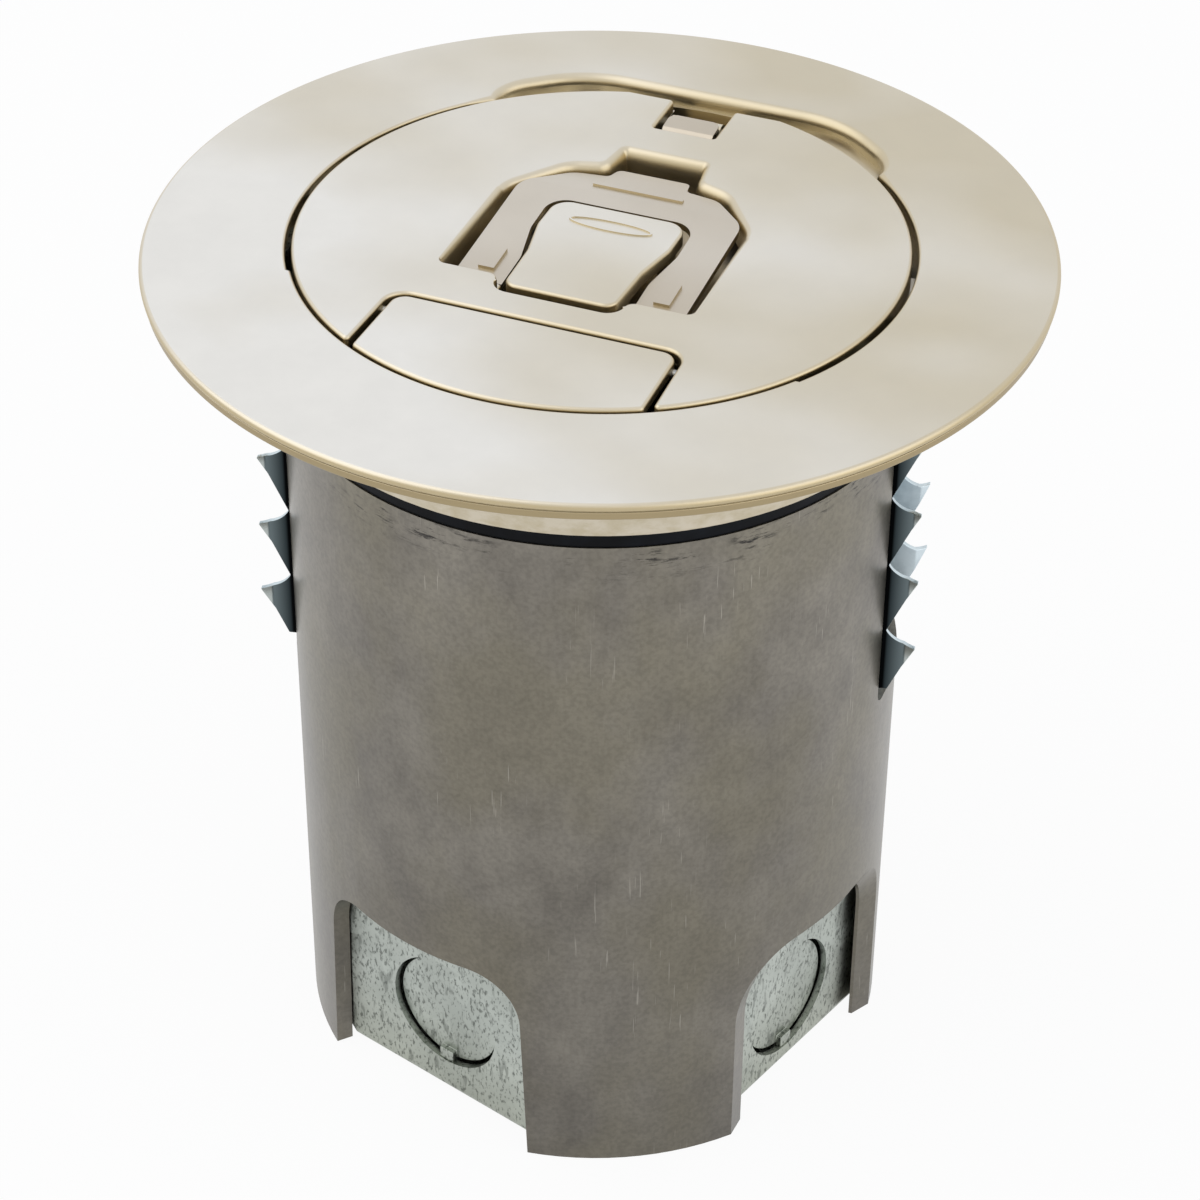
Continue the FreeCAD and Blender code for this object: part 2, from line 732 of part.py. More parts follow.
def egress_door():
    plate = prism(door_outline(), lid_under + 0.8, lid_top).common(lid_circle(lid_r, -9, 9))
    lip = prism(door_outline(), lid_rim_bottom, lid_top).common(
        lid_circle(lid_r, -9, 9).cut(lid_circle(lid_r - 2.0, -20, 20)))
    boss = rod_x(door_boss_r, -door_half_w + 0.5, door_half_w - 0.5, door_pin_y, door_pin_z)
    body = joined(plate, lip, boss)
    gap = block(-6, 6, door_pin_y - 2.6, door_pin_y + 2.6, -9, door_pin_z + 1.8)
    body = body.cut(gap)
    return body.cut(rod_x(door_pin_r + run_clear, -40, 40, door_pin_y, door_pin_z))


def door_spring():
    return coil_spring(vec(-5.2, door_pin_y, door_pin_z), vec(1, 0, 0), 10.4, door_pin_r + 0.42, 0.25, 1.3)


def handle_top(y):
    """Height of the lift handle's top surface along Y."""
    if y <= handle_bend_y:
        t = (y - handle_front_y) / (handle_bend_y - handle_front_y)
        return handle_front_top + t * (handle_bend_top - handle_front_top)
    t = (y - handle_bend_y) / (handle_rear_y - handle_bend_y)
    return handle_bend_top + t * (handle_rear_top - handle_bend_top)


def handle_band(y0, y1, rise, drop, x0, x1):
    """Strip that follows the handle's side profile."""
    ys = [y0] + ([handle_bend_y] if y0 < handle_bend_y < y1 else []) + [y1]
    top = [(y, handle_top(y) + rise) for y in ys]
    under = [(y, handle_top(y) - drop) for y in reversed(ys)]
    return side_prism(top + under, x0, x1)


def lift_handle():
    w = handle_half_w
    band = handle_band(handle_front_y, handle_rear_y, 0, handle_t, -w, w)
    outline = mirrored_corners([(w, handle_front_y, 1.2), (w, handle_rear_y - 16, 6), (17.2, handle_rear_y - 5.8, 6),
                                (9.2, handle_rear_y - 4.4, 1.5),
                                (8.4, handle_rear_y, 1.5)])
    body = band.common(prism(outline, -20, 20))
    narrow, wide = paddle_waist_half_w + handle_open_gap, paddle_rear_half_w + handle_open_gap
    hole = mirrored_corners([(narrow, handle_front_y - 5, 0), (narrow, paddle_waist_y, 9),
                             (wide, paddle_shoulder_y, 9), (wide, handle_open_rear_y, 5)])
    body = body.cut(prism(hole, -20, 20))
    pieces = [body]
    for sign in (-1, 1):
        x0, x1 = sorted((sign * (w - 1.5), sign * w))
        pivot = rod_x(handle_ear_r, x0, x1, handle_pivot_y, handle_pivot_z)
        ear = side_prism([(handle_pivot_y - 1.4, handle_pivot_z), (handle_pivot_y + 1.9, handle_pivot_z - 0.4),
                          (-11.0, handle_top(-11.0) - 1), (handle_front_y + 0.4, handle_top(handle_front_y) - 1)],
                         x0, x1)
        pad0, pad1 = sorted((sign * (pad_x - pad_half_w), sign * (pad_x + pad_half_w)))
        pieces += [pivot, ear, handle_band(pad_y[0], pad_y[1], pad_rise, 0.4, pad0, pad1)]
    pieces.append(handle_band(rib_y - 0.5, rib_y + 0.5, rib_rise, 0.4, -rib_half_w, rib_half_w))
    body = joined(*pieces)
    return body.cut(rod_x(handle_pin_r + run_clear, -40, 40, handle_pivot_y, handle_pivot_z))


def paddle_outline():
    return [(paddle_front_half_w, paddle_front_y, 3.0), (paddle_waist_half_w, paddle_waist_y, 9),
            (paddle_rear_half_w, paddle_shoulder_y, 9), (paddle_rear_half_w, paddle_rear_y, 4.5)]


def oval_disc(inset):
    """Elliptical disc on the paddle's top, sunk a little into it."""
    edge = Part.Ellipse(vec(0, oval_y, lid_top - 0.3), oval_half_w - inset, oval_half_d - inset).toShape()
    return Part.Face(Part.Wire(edge)).extrude(vec(0, 0, 0.3 + oval_rise))


def cam_x():
    """Where the slanted cam face would cross z = 0, clear of the bolt's hook."""
    return bolt_hook_x + hook_foot + side_clear * math.sqrt(2)


def release_paddle():
    outline = mirrored_corners(paddle_outline())
    z0 = lid_top - paddle_t
    plate = prism(outline, lid_top - paddle_skirt, lid_top)
    inner = Part.Face(rounded_wire(outline)).makeOffset2D(-paddle_skirt_wall)
    inner.translate(vec(0, 0, lid_top - paddle_skirt - 1))
    plate = plate.cut(inner.extrude(vec(0, 0, paddle_skirt - paddle_t + 1)))
    top_edges = [e for e in plate.Edges if abs(e.BoundBox.ZMin - lid_top) < 1e-6
                 and abs(e.BoundBox.ZMax - lid_top) < 1e-6]
    plate = plate.makeFillet(0.8, top_edges)
    pieces = [plate, oval_disc(0).cut(oval_disc(oval_rim_w))]
    lean = cam_x()
    for sign in (-1, 1):
        x0, x1 = sorted((sign * 9.4, sign * 11.0))
        ear = side_prism([(3.6, z0 + 0.2), (12.4, z0 + 0.2), (paddle_pin_y + 2.2, paddle_pin_z),
                          (paddle_pin_y + 1.2, paddle_pin_z - 1.6), (paddle_pin_y - 1.2, paddle_pin_z - 1.6),
                          (paddle_pin_y - 2.2, paddle_pin_z)], x0, x1)
        low = -1.4
        cam = [(sign * x, z) for x, z in ((8.2, z0 + 0.2), (8.2, lean - 8.2), (lean - low, low), (11.4, low),
                                          (11.4, z0 + 0.2))]
        pieces += [ear, front_prism(cam, bolt_y - 2.5, bolt_y + 2.5)]
    body = joined(*pieces)
    return body.cut(rod_x(paddle_pin_r + run_clear, -40, 40, paddle_pin_y, paddle_pin_z))


def latch_bolt():
    """Right-hand bolt: flat bar with a slanted hook inside and a spring lug."""
    y0, y1 = bolt_y - bolt_w / 2, bolt_y + bolt_w / 2
    bar = block(bolt_hook_x, bolt_end_x, y0, y1, bolt_bottom, bolt_top)
    nose = front_prism([(bolt_end_x - 2.0, bolt_bottom - 1), (bolt_end_x + 1, bolt_bottom + 1.6),
                        (bolt_end_x + 1, bolt_bottom - 1)], y0 - 1, y1 + 1)
    line = bolt_hook_x + hook_foot
    hook = front_prism([(bolt_hook_x, bolt_top - 0.3), (bolt_hook_x, hook_top), (line - hook_top, hook_top),
                        (line + 2.6, -2.6), (line + 2.6, bolt_top - 0.3)], bolt_y - 2.5, bolt_y + 2.5)
    lug = block(guide_x[0] - 1.4, guide_x[0] - 0.1, bolt_y - 1.6, bolt_y + 1.6, bolt_top - 0.3, -0.3)
    return joined(bar, hook, lug).cut(nose)


def bolt_spring():
    start = vec(pan_half_w + 0.05, bolt_y, bolt_top + bolt_spring_r + 0.55)
    length = guide_x[0] - 1.5 - pan_half_w - 0.1
    return coil_spring(start, vec(1, 0, 0), length, bolt_spring_r, 0.3, 1.9)


def bolt_guide():
    """Block under the lid with a slot that a bolt slides in."""
    y0, y1 = bolt_y - bolt_w / 2, bolt_y + bolt_w / 2
    body = block(guide_x[0], guide_x[1], y0 - 4.4, y1 + 4.4, bolt_bottom - 1.6, lid_under)
    body = body.cut(block(guide_x[0] - 1, guide_x[1] + 1, y0 - side_clear, y1 + side_clear,
                          bolt_bottom - side_clear, bolt_top + side_clear))
    for y in guide_rivet_ys():
        body = body.cut(disc(1.0, bolt_bottom - 9, lid_under + 1, sum(guide_x) / 2, y))
    return body


def latch_pan():
    """Pressed pan under the lid recess; it carries the handle, the paddle and the bolts."""
    w, s = pan_half_w, pan_sheet
    outer = prism(mirrored_corners([(w, pan_front_y, 4), (w, pan_rear_y, 4)]), pan_bottom, lid_under)
    inner = prism(mirrored_corners([(w - s, pan_front_y + s, 3), (w - s, pan_rear_y - s, 3)]), pan_floor, 9)
    body = outer.cut(inner)
    tabs = []
    for x, y in pan_screw_places():
        x0, x1 = sorted((math.copysign(w - 0.4, x), math.copysign(w + 6.0, x)))
        tabs.append(block(x0, x1, y - 3.5, y + 3.5, lid_under - s, lid_under))
    for sign in (-1, 1):
        x0, x1 = sorted((sign * 11.4, sign * 13.4))
        tabs.append(side_prism([(paddle_pin_y - 3.6, pan_floor - 0.2), (paddle_pin_y + 3.6, pan_floor - 0.2),
                                (paddle_pin_y + 2.2, 1.0), (paddle_pin_y - 2.2, 1.0)], x0, x1))
    body = joined(body, *tabs)
    y0, y1 = bolt_y - bolt_w / 2, bolt_y + bolt_w / 2
    slot = block(w - s - 1, w + 1, y0 - side_clear, y1 + side_clear, pan_floor, bolt_top + side_clear)
    body = body.cut(slot).cut(mirrored(slot))
    for x, y in pan_screw_places():
        body = body.cut(screw_hole(x, y, lid_under - s - 1, lid_under + 1, 1.0))
    body = body.cut(rod_x(paddle_pin_r, -14, 14, paddle_pin_y, paddle_pin_z))
    return body.cut(rod_x(handle_pin_r, -w - 1, w + 1, handle_pivot_y, handle_pivot_z))


def handle_pin():
    return joined(rod_x(handle_pin_r, handle_half_w - 2.2, pan_half_w, handle_pivot_y, handle_pivot_z),
                  rod_x(handle_pin_r * 1.6, pan_half_w, pan_half_w + 0.9, handle_pivot_y, handle_pivot_z))


def strike_plate():
    """Angle on the neck wall with a lip just outside the bolt's nose."""
    lip_x = bolt_end_x + side_clear
    wall = neck_inner_r + 0.3
    lip = block(lip_x, wall, bolt_y - 5, bolt_y + 5, bolt_top + 0.6, bolt_top + 1.8)
    leg = block(neck_inner_r - 2.7, wall, bolt_y - 5, bolt_y + 5, bolt_bottom - 5, bolt_top + 1.8)
    return joined(lip, leg).common(disc(neck_inner_r, -40, 40))


def socket_pan():
    """Deep-drawn well that holds the outlets; its lip rests on the body's top flange."""
    lip_top = body_top + 1.5
    body = ring(well_lip_r, well_r - 1, body_top, lip_top)
    body = body.fuse(ring(well_r, well_r - well_sheet, well_floor - 2, lip_top))
    body = body.fuse(disc(well_r, well_floor - 2, well_floor))
    body = body.cut(block(-outlet_half_w + 0.5, outlet_half_w - 0.5, outlet_y - outlet_half_d + 0.5,
                          outlet_y + outlet_half_d - 0.5, -90, 0))
    body = body.cut(block(-jack_x - jack_half_w - 1, jack_x + jack_half_w + 1, data_y - jack_half_d - 1,
                          data_y + jack_half_d + 1, -90, 0))
    for x in (-outlet_half_w - 4.5, outlet_half_w + 4.5):
        body = body.cut(screw_hole(x, outlet_y, -90, 0, small_screw_r))
    for x in (-data_screw_x, data_screw_x):
        body = body.cut(screw_hole(x, data_y, -90, 0, small_screw_r))
    body = body.cut(screw_hole(earth_x, earth_y, -90, 0, 2.0))
    for angle in well_screw_turns:
        body = body.cut(turned(disc(small_screw_r + 0.2, body_top - 1, lip_top + 1, well_screw_rho), angle))
    return body.removeSplitter()


def contact_slots(body, z0, z1):
    """Two flat slots and a round earth hole for each of the two outlets."""
    for x in outlet_xs:
        for dy, length in ((-6.35, 7.2), (6.35, 8.4)):
            body = body.cut(block(x - length / 2 - 2.5, x + length / 2 - 2.5, outlet_y + dy - 0.9,
                                  outlet_y + dy + 0.9, z0, z1))
        body = body.cut(disc(2.45, z0, z1, x + 7.2, outlet_y))
    return body


def outlet_island(r, x, z0, z1):
    """Round outlet outline with two flats."""
    half = r - 2.0
    return disc(r, z0, z1, x, outlet_y).common(block(x - half, x + half, outlet_y - r, outlet_y + r, z0, z1))


def outlet_face():
    """Duplex faceplate; a groove runs round each outlet."""
    top = well_floor + outlet_rise
    body = block(-outlet_half_w, outlet_half_w, outlet_y - outlet_half_d, outlet_y + outlet_half_d,
                 well_floor, top)
    body = body.makeFillet(1.5, [e for e in body.Edges if abs(e.BoundBox.ZLength - outlet_rise) < 1e-6])
    for x in outlet_xs:
        groove = outlet_island(14.2, x, top - 0.8, top + 1).cut(outlet_island(13.4, x, top - 1, top + 2))
        body = body.cut(groove)
    return contact_slots(body, well_floor - 1, top + 1)


def outlet_housing():
    body = block(-outlet_half_w + 1, outlet_half_w - 1, outlet_y - outlet_half_d + 1, outlet_y + outlet_half_d - 1,
                 well_floor - outlet_depth, well_floor)
    return contact_slots(body, well_floor - 16, well_floor + 1)


def outlet_strap():
    z1 = well_floor - 2
    body = block(-strap_half_w, strap_half_w, outlet_y - strap_half_d, outlet_y + strap_half_d, z1 - 1.2, z1)
    body = body.cut(block(-outlet_half_w + 0.9, outlet_half_w - 0.9, outlet_y - 40, outlet_y + 40, -90, 0))
    bridge = block(-outlet_half_w - 1, outlet_half_w + 1, outlet_y - 6, outlet_y + 6,
                   well_floor - outlet_depth - 1.2, well_floor - outlet_depth)
    sides = []
    for sign in (-1, 1):
        x0, x1 = sorted((sign * (outlet_half_w - 0.9), sign * (outlet_half_w + 0.3)))
        sides.append(block(x0, x1, outlet_y - 6, outlet_y + 6, well_floor - outlet_depth - 1.2, z1))
    body = joined(*(body.Solids + [bridge] + sides))
    for x in (-outlet_half_w - 4.5, outlet_half_w + 4.5):
        body = body.cut(screw_hole(x, outlet_y, -90, 0, small_screw_r))
    return body


def data_plate():
    top = well_floor + outlet_rise
    body = block(-outlet_half_w, outlet_half_w, data_y - data_half_d, data_y + data_half_d, well_floor, top)
    body = body.makeFillet(1.5, [e for e in body.Edges if abs(e.BoundBox.ZLength - outlet_rise) < 1e-6])
    for x in (-jack_x, jack_x):
        body = body.cut(block(x - jack_half_w, x + jack_half_w, data_y - jack_half_d, data_y + jack_half_d, -90, 0))
    for x in (-data_screw_x, data_screw_x):
        body = body.cut(screw_hole(x, data_y, -90, 0, small_screw_r))
    return body


def data_jack(x):
    """Eight-way jack: square body with a stepped plug opening."""
    top = well_floor + outlet_rise
    w, d = jack_half_w - 0.1, jack_half_d - 0.1
    body = block(x - w, x + w, data_y - d, data_y + d, top - 20, top + 0.3)
    body = body.cut(block(x - 5.9, x + 5.9, data_y - 3.6, data_y + 3.4, top - 13, top + 1))
    return body.cut(block(x - 3.0, x + 3.0, data_y - 6.4, data_y - 3.5, top - 13, top + 1))


def divider():
    half = math.sqrt((well_r - well_sheet - 0.3) ** 2 - divider_t ** 2)
    wall = block(-half, half, divider_y - divider_t / 2, divider_y + divider_t / 2, well_floor, divider_top)
    wall = wall.makeFillet(5, [e for e in wall.Edges if abs(e.BoundBox.YLength - divider_t) < 1e-6
                               and abs(e.BoundBox.ZMin - divider_top) < 1e-6])
    foot = block(-40, 40, divider_y - divider_t / 2, divider_y + 3.2, well_floor, well_floor + 1.0)
    return joined(wall, foot)


def box_section(flat, round_r, z0, z1):
    body = disc(round_r, z0, z1)
    return body.common(block(-flat, flat, -flat, flat, z0, z1))


def junction_box():
    outer = box_section(box_flat, box_round_r, box_bottom, box_top)
    foot_edges = [e for e in outer.Edges if e.BoundBox.ZMax < box_bottom + 0.01]
    outer = outer.makeFillet(box_edge_round, foot_edges)
    s = box_sheet
    inner = box_section(box_flat - s, box_round_r - s, box_bottom + s, box_top + 5)
    foot_edges = [e for e in inner.Edges if e.BoundBox.ZMax < box_bottom + s + 0.01]
    body = outer.cut(inner.makeFillet(box_edge_round - s, foot_edges))
    for quarter, (shift, z) in enumerate(knockouts):
        hole = rod_x(knockout_r, box_flat - s - 1, box_flat + 1, shift, z)
        body = body.cut(turned(hole, 90 * quarter))
    body = body.cut(ring(14.0, 12.9, box_bottom - 1, box_bottom + s + 1).cut(
        block(-1.5, 1.5, 0, 20, box_bottom - 2, box_bottom + 9)))
    lug = disc(box_lug_r, box_top - 2, box_top, box_screw_rho + 0.5, 0)
    lug = lug.fuse(block(box_screw_rho + 0.5, box_round_r + 0.8, -box_lug_r, box_lug_r, box_top - 2, box_top))
    lug = lug.common(disc(box_round_r - 0.2, -300, 0))
    lug = lug.cut(disc(box_screw_r, box_top - 9, box_top + 9, box_screw_rho, 0))
    for quarter in range(4):
        body = body.fuse(turned(lug, 45 + 90 * quarter))
    return turned(body.removeSplitter(), body_turn)


def knockout_disc(shift, z):
    """Coined disc pushed into the box, still held by one uncut tab at its foot."""
    r = knockout_r - knockout_gap
    face = box_flat - knockout_push
    body = rod_x(r, face - box_sheet, face, shift, z)
    tab = block(box_flat - box_sheet - knockout_push, box_flat - 0.3, shift - knockout_tab_w / 2,
                shift + knockout_tab_w / 2, z - knockout_r - 1, z - r + 2.2)
    tab = tab.common(rod_x(knockout_r, box_flat - 10, box_flat + 10, shift, z))
    return body.fuse(tab).removeSplitter()


def partition_plate():
    body = disc(body_inner_r, box_top, box_top + partition_t)
    body = body.cut(disc(grommet_r, box_top - 1, box_top + 9))
    for quarter in range(4):
        hole = disc(box_screw_r, box_top - 1, box_top + 9, box_screw_rho, 0)
        body = body.cut(turned(hole, 45 + 90 * quarter + body_turn))
    return body


def grommet():
    t = partition_t
    body = ring(grommet_r + 2.5, grommet_r - grommet_wall, box_top - 2, box_top + t + 2)
    return body.cut(ring(grommet_r + 9, grommet_r, box_top, box_top + t))


def export(name, *shapes):
    solids = [solid for shape in shapes for solid in shape.Solids]
    shape = solids[0] if len(solids) == 1 else Part.makeCompound(solids)
    shape.exportStep("parts/%s.step" % name)


def cover_screws():
    one = pan_head_screw(cover_screw_rho, 0, neck_bottom + neck_lip, cover_screw_r, neck_lip + gasket_t + 4.5)
    return [turned(one, angle) for angle in cover_screw_turns]


def well_screws():
    one = pan_head_screw(well_screw_rho, 0, body_top + 1.5, small_screw_r, 5.5)
    return [turned(one, angle) for angle in well_screw_turns]


def placed_clip(shape, side):
    return turned(shape, clip_turns()[side])


def build():
    os.makedirs("parts", exist_ok=True)
    foot_top = neck_bottom + neck_lip + 2.0
    export("cover_flange", cover_flange())
    export("flange_gasket", flange_gasket())
    export("cover_screws", *cover_screws())
    export("body_shell", body_shell())
    export("hinge_bracket", hinge_bracket())
    export("hinge_bracket_screws", *[pan_head_screw(x, hinge_foot_y, foot_top, small_screw_r, 10.0)
                                     for x in (-10.0, 10.0)])
    export("lid_hinge_pin", rod_x(hinge_pin_r, -hinge_pin_half, hinge_pin_half, hinge_y, hinge_z))
    strike = strike_plate()
    export("strike_plates", strike, mirrored(strike))
    for side, name in enumerate(("right", "left")):
        export("retaining_clip_" + name, placed_clip(retaining_clip(), side))
        export("clip_pocket_" + name, placed_clip(clip_pocket(), side))
        export("clip_spring_" + name, placed_clip(clip_leaf(), side))
    export("clip_guide_pins", *[placed_clip(clip_guide_pin(z), side) for side in (0, 1) for z in guide_pin_zs])
    export("socket_pan", socket_pan())
    export("socket_pan_screws", *well_screws())
    export("power_outlet_face", outlet_face())
    export("power_outlet_housing", outlet_housing())
    export("power_outlet_strap", outlet_strap())
    export("outlet_screws", *[pan_head_screw(x, outlet_y, well_floor, small_screw_r, 6.0)
                              for x in (-outlet_half_w - 4.5, outlet_half_w + 4.5)])
    export("data_plate", data_plate())
    export("data_jacks", *[data_jack(x) for x in (-jack_x, jack_x)])
    export("data_screws", *[pan_head_screw(x, data_y, well_floor + outlet_rise, small_screw_r, 8.0)
                            for x in (-data_screw_x, data_screw_x)])
    export("earth_screw", pan_head_screw(earth_x, earth_y, well_floor, 2.0, 7.0))
    export("divider", divider())
    export("junction_box", junction_box())
    export("knockout_discs", *[turned(knockout_disc(*place), 90 * q + body_turn)
                               for q, place in enumerate(knockouts)])
    export("partition_plate", partition_plate())
    export("cable_grommet", grommet())
    export("junction_box_screws", *[turned(pan_head_screw(box_screw_rho, 0, box_top + partition_t, box_screw_r, 7.0),
                                           45 + 90 * q + body_turn) for q in range(4)])
    export("lid", lid())
    export("lid_seal", lid_seal())
    export("hinge_detent_leaf", detent_leaf())
    export("latch_pan", latch_pan())
    export("latch_pan_screws", *[pan_head_screw(x, y, lid_under - pan_sheet, 1.0, pan_sheet + 1.6, down=False)
                                 for x, y in pan_screw_places()])
    export("detent_leaf_rivets", *[pan_head_screw(x, y, lid_under - 0.8, 1.0, 2.4, down=False)
                                   for x, y in leaf_rivet_places()])
    guide = bolt_guide()
    export("bolt_guides", guide, mirrored(guide))
    export("bolt_guide_rivets", *[pan_head_screw(sign * sum(guide_x) / 2, y, bolt_bottom - 1.6, 1.0,
                                                 lid_under - bolt_bottom + 1.6 + 1.6, down=False)
                                  for sign in (-1, 1) for y in guide_rivet_ys()])
    pin = handle_pin()
    export("handle_pivot_pins", pin, mirrored(pin))
    export("paddle_pin", rod_x(paddle_pin_r, -13.4, 13.4, paddle_pin_y, paddle_pin_z))
    export("paddle_spring", coil_spring(vec(0, -19.0, pan_floor + 0.02), UP,
                                        lid_top - paddle_t - pan_floor - 0.06, 3.2, 0.4, 2.6))
    side = door_half_w + door_gap
    export("door_hinge_pin", rod_x(door_pin_r, -side - 2.6, side + 2.6, door_pin_y, door_pin_z))
    export("door_spring", door_spring())
    export("egress_door", egress_door())
    export("lift_handle", lift_handle())
    export("release_paddle", release_paddle())
    bolt, spring = latch_bolt(), bolt_spring()
    export("latch_bolt_right", bolt)
    export("latch_bolt_left", mirrored(bolt))
    export("bolt_spring_right", spring)
    export("bolt_spring_left", mirrored(spring))


build()
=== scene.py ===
import json
import math

import bmesh
import bpy
import numpy as np
from mathutils import Matrix, Vector
from mathutils.geometry import delaunay_2d_cdt

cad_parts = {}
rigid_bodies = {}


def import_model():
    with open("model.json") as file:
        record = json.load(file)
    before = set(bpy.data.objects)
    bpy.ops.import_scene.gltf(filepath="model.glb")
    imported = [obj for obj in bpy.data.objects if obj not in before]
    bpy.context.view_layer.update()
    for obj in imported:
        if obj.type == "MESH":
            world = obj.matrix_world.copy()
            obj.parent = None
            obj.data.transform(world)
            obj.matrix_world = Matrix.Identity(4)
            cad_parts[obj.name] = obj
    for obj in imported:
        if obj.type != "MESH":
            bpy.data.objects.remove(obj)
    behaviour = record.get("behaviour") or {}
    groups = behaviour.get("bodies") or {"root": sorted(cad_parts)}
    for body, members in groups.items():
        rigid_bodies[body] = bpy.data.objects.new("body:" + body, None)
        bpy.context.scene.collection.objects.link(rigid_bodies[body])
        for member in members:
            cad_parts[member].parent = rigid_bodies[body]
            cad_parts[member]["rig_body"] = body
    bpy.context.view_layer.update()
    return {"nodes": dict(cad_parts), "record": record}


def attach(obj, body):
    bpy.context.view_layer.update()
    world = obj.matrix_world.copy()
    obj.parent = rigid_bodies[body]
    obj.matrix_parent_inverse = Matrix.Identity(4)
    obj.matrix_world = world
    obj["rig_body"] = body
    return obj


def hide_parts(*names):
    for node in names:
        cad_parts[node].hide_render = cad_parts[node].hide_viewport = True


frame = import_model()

# Sizes below are in millimetres from the middle of the flange's seat, with the cable door towards -Y
MM = 0.001


# Cover flange: a round die-cast zinc ring, linished and plated with satin nickel. It lies on the
# floor round the hole, and its neck hangs in the hole. Its rim is rolled over a thin second lip.
NICKEL_COOL = "#E4E3E0"
NICKEL_WARM = "#C9C1AE"
NICKEL_SIDE_SHADE = "#C2B391"
NICKEL_HUNG_SHADE = "#D0C8B8"
NICKEL_LIP_SHADE = "#A89877"
NICKEL_CAST_SHADE = "#C0B69F"
NICKEL_LIGHT_FALL_MM = 95.0
NICKEL_LIGHT_FALL_X = 0.71
NICKEL_LIGHT_FALL_Y = 0.65
NICKEL_BLOTCH_MM = 62.0
NICKEL_SMUDGE_MM = 9.0
NICKEL_SKIN_MM = 2.4
NICKEL_GRAIN_MM = 0.5
NICKEL_ROUGH = (0.28, 0.42)
LIP_SHADE_R = 85.0
LIP_SHADE_Z = (2.1, 2.6)
HUNG_SHADE_Z = (-4.0, 0.0)
FLANGE_CAST_AND_SHADE = 0.85


def linear(hex_colour):
    """Linear channels of an sRGB hex colour: the low part by a line, the rest by a power of 2.4."""
    srgb = np.array([int(hex_colour[i:i + 2], 16) for i in (1, 3, 5)]) / 255
    light = np.where(srgb <= 0.04045, srgb / 12.92, ((srgb + 0.055) / 1.055) ** 2.4)
    return (*light.tolist(), 1.0)


def add(tree, kind, feeds=None, give=0, stops=(), **settings):
    """Adds one shader node and gives the output that is named or numbered by give. Settings are its
    properties. Feeds go to its inputs, by name or number: a socket, a number or a hex colour. Stops are
    the (place, colour) pairs of a colour ramp, each colour as hex or as a grey value."""
    made = tree.nodes.new("ShaderNode" + kind)
    for name, value in settings.items():
        setattr(made, name, value)
    for i, (place, colour) in enumerate(stops):
        stop = made.color_ramp.elements[i] if i < 2 else made.color_ramp.elements.new(place)
        stop.position = place
        stop.color = linear(colour) if isinstance(colour, str) else (colour, colour, colour, 1)
    for name, feed in (feeds or {}).items():
        if isinstance(feed, bpy.types.NodeSocket):
            tree.links.new(feed, made.inputs[name])
        else:
            made.inputs[name].default_value = linear(feed) if isinstance(feed, str) else feed
    return made.outputs[give] if made.outputs else None


def new_material(name):
    """A material with an empty node tree."""
    material = bpy.data.materials.new(name)
    material.use_nodes = True
    material.node_tree.nodes.clear()
    return material, material.node_tree


def patches(tree, size_mm, stretch=(1, 1, 1), detail=3.0, roughness=0.5, turn=(0, 0, 0)):
    """Uneven patches about size_mm across on object coordinates, drawn out by stretch and turned."""
    place = add(tree, "TexCoord", give="Object")
    spread = add(tree, "Mapping", {"Vector": place, "Scale": tuple(1 / s for s in stretch), "Rotation": turn})
    return add(tree, "TexNoise", {"Vector": spread, "Scale": 1 / (size_mm * MM), "Detail": detail,
                                  "Roughness": roughness})


# Two ways to join colours: the second laid over the first, or the first darkened by the second
OVER = {"data_type": "RGBA", "blend_type": "MIX"}
DARKEN = {"data_type": "RGBA", "blend_type": "MULTIPLY"}


def metal(tree, colour, roughness, relief, relief_mm, film=None):
    """Plated or bare metal, fully metallic, with a relief of a given height and sometimes a film of oil."""
    bump = add(tree, "Bump", {"Height": relief, "Distance": relief_mm * MM, "Strength": 1.0})
    surface = {"Metallic": 1.0, "Base Color": colour, "Roughness": roughness, "Normal": bump, **(film or {})}
    add(tree, "OutputMaterial", {"Surface": add(tree, "BsdfPrincipled", surface)})


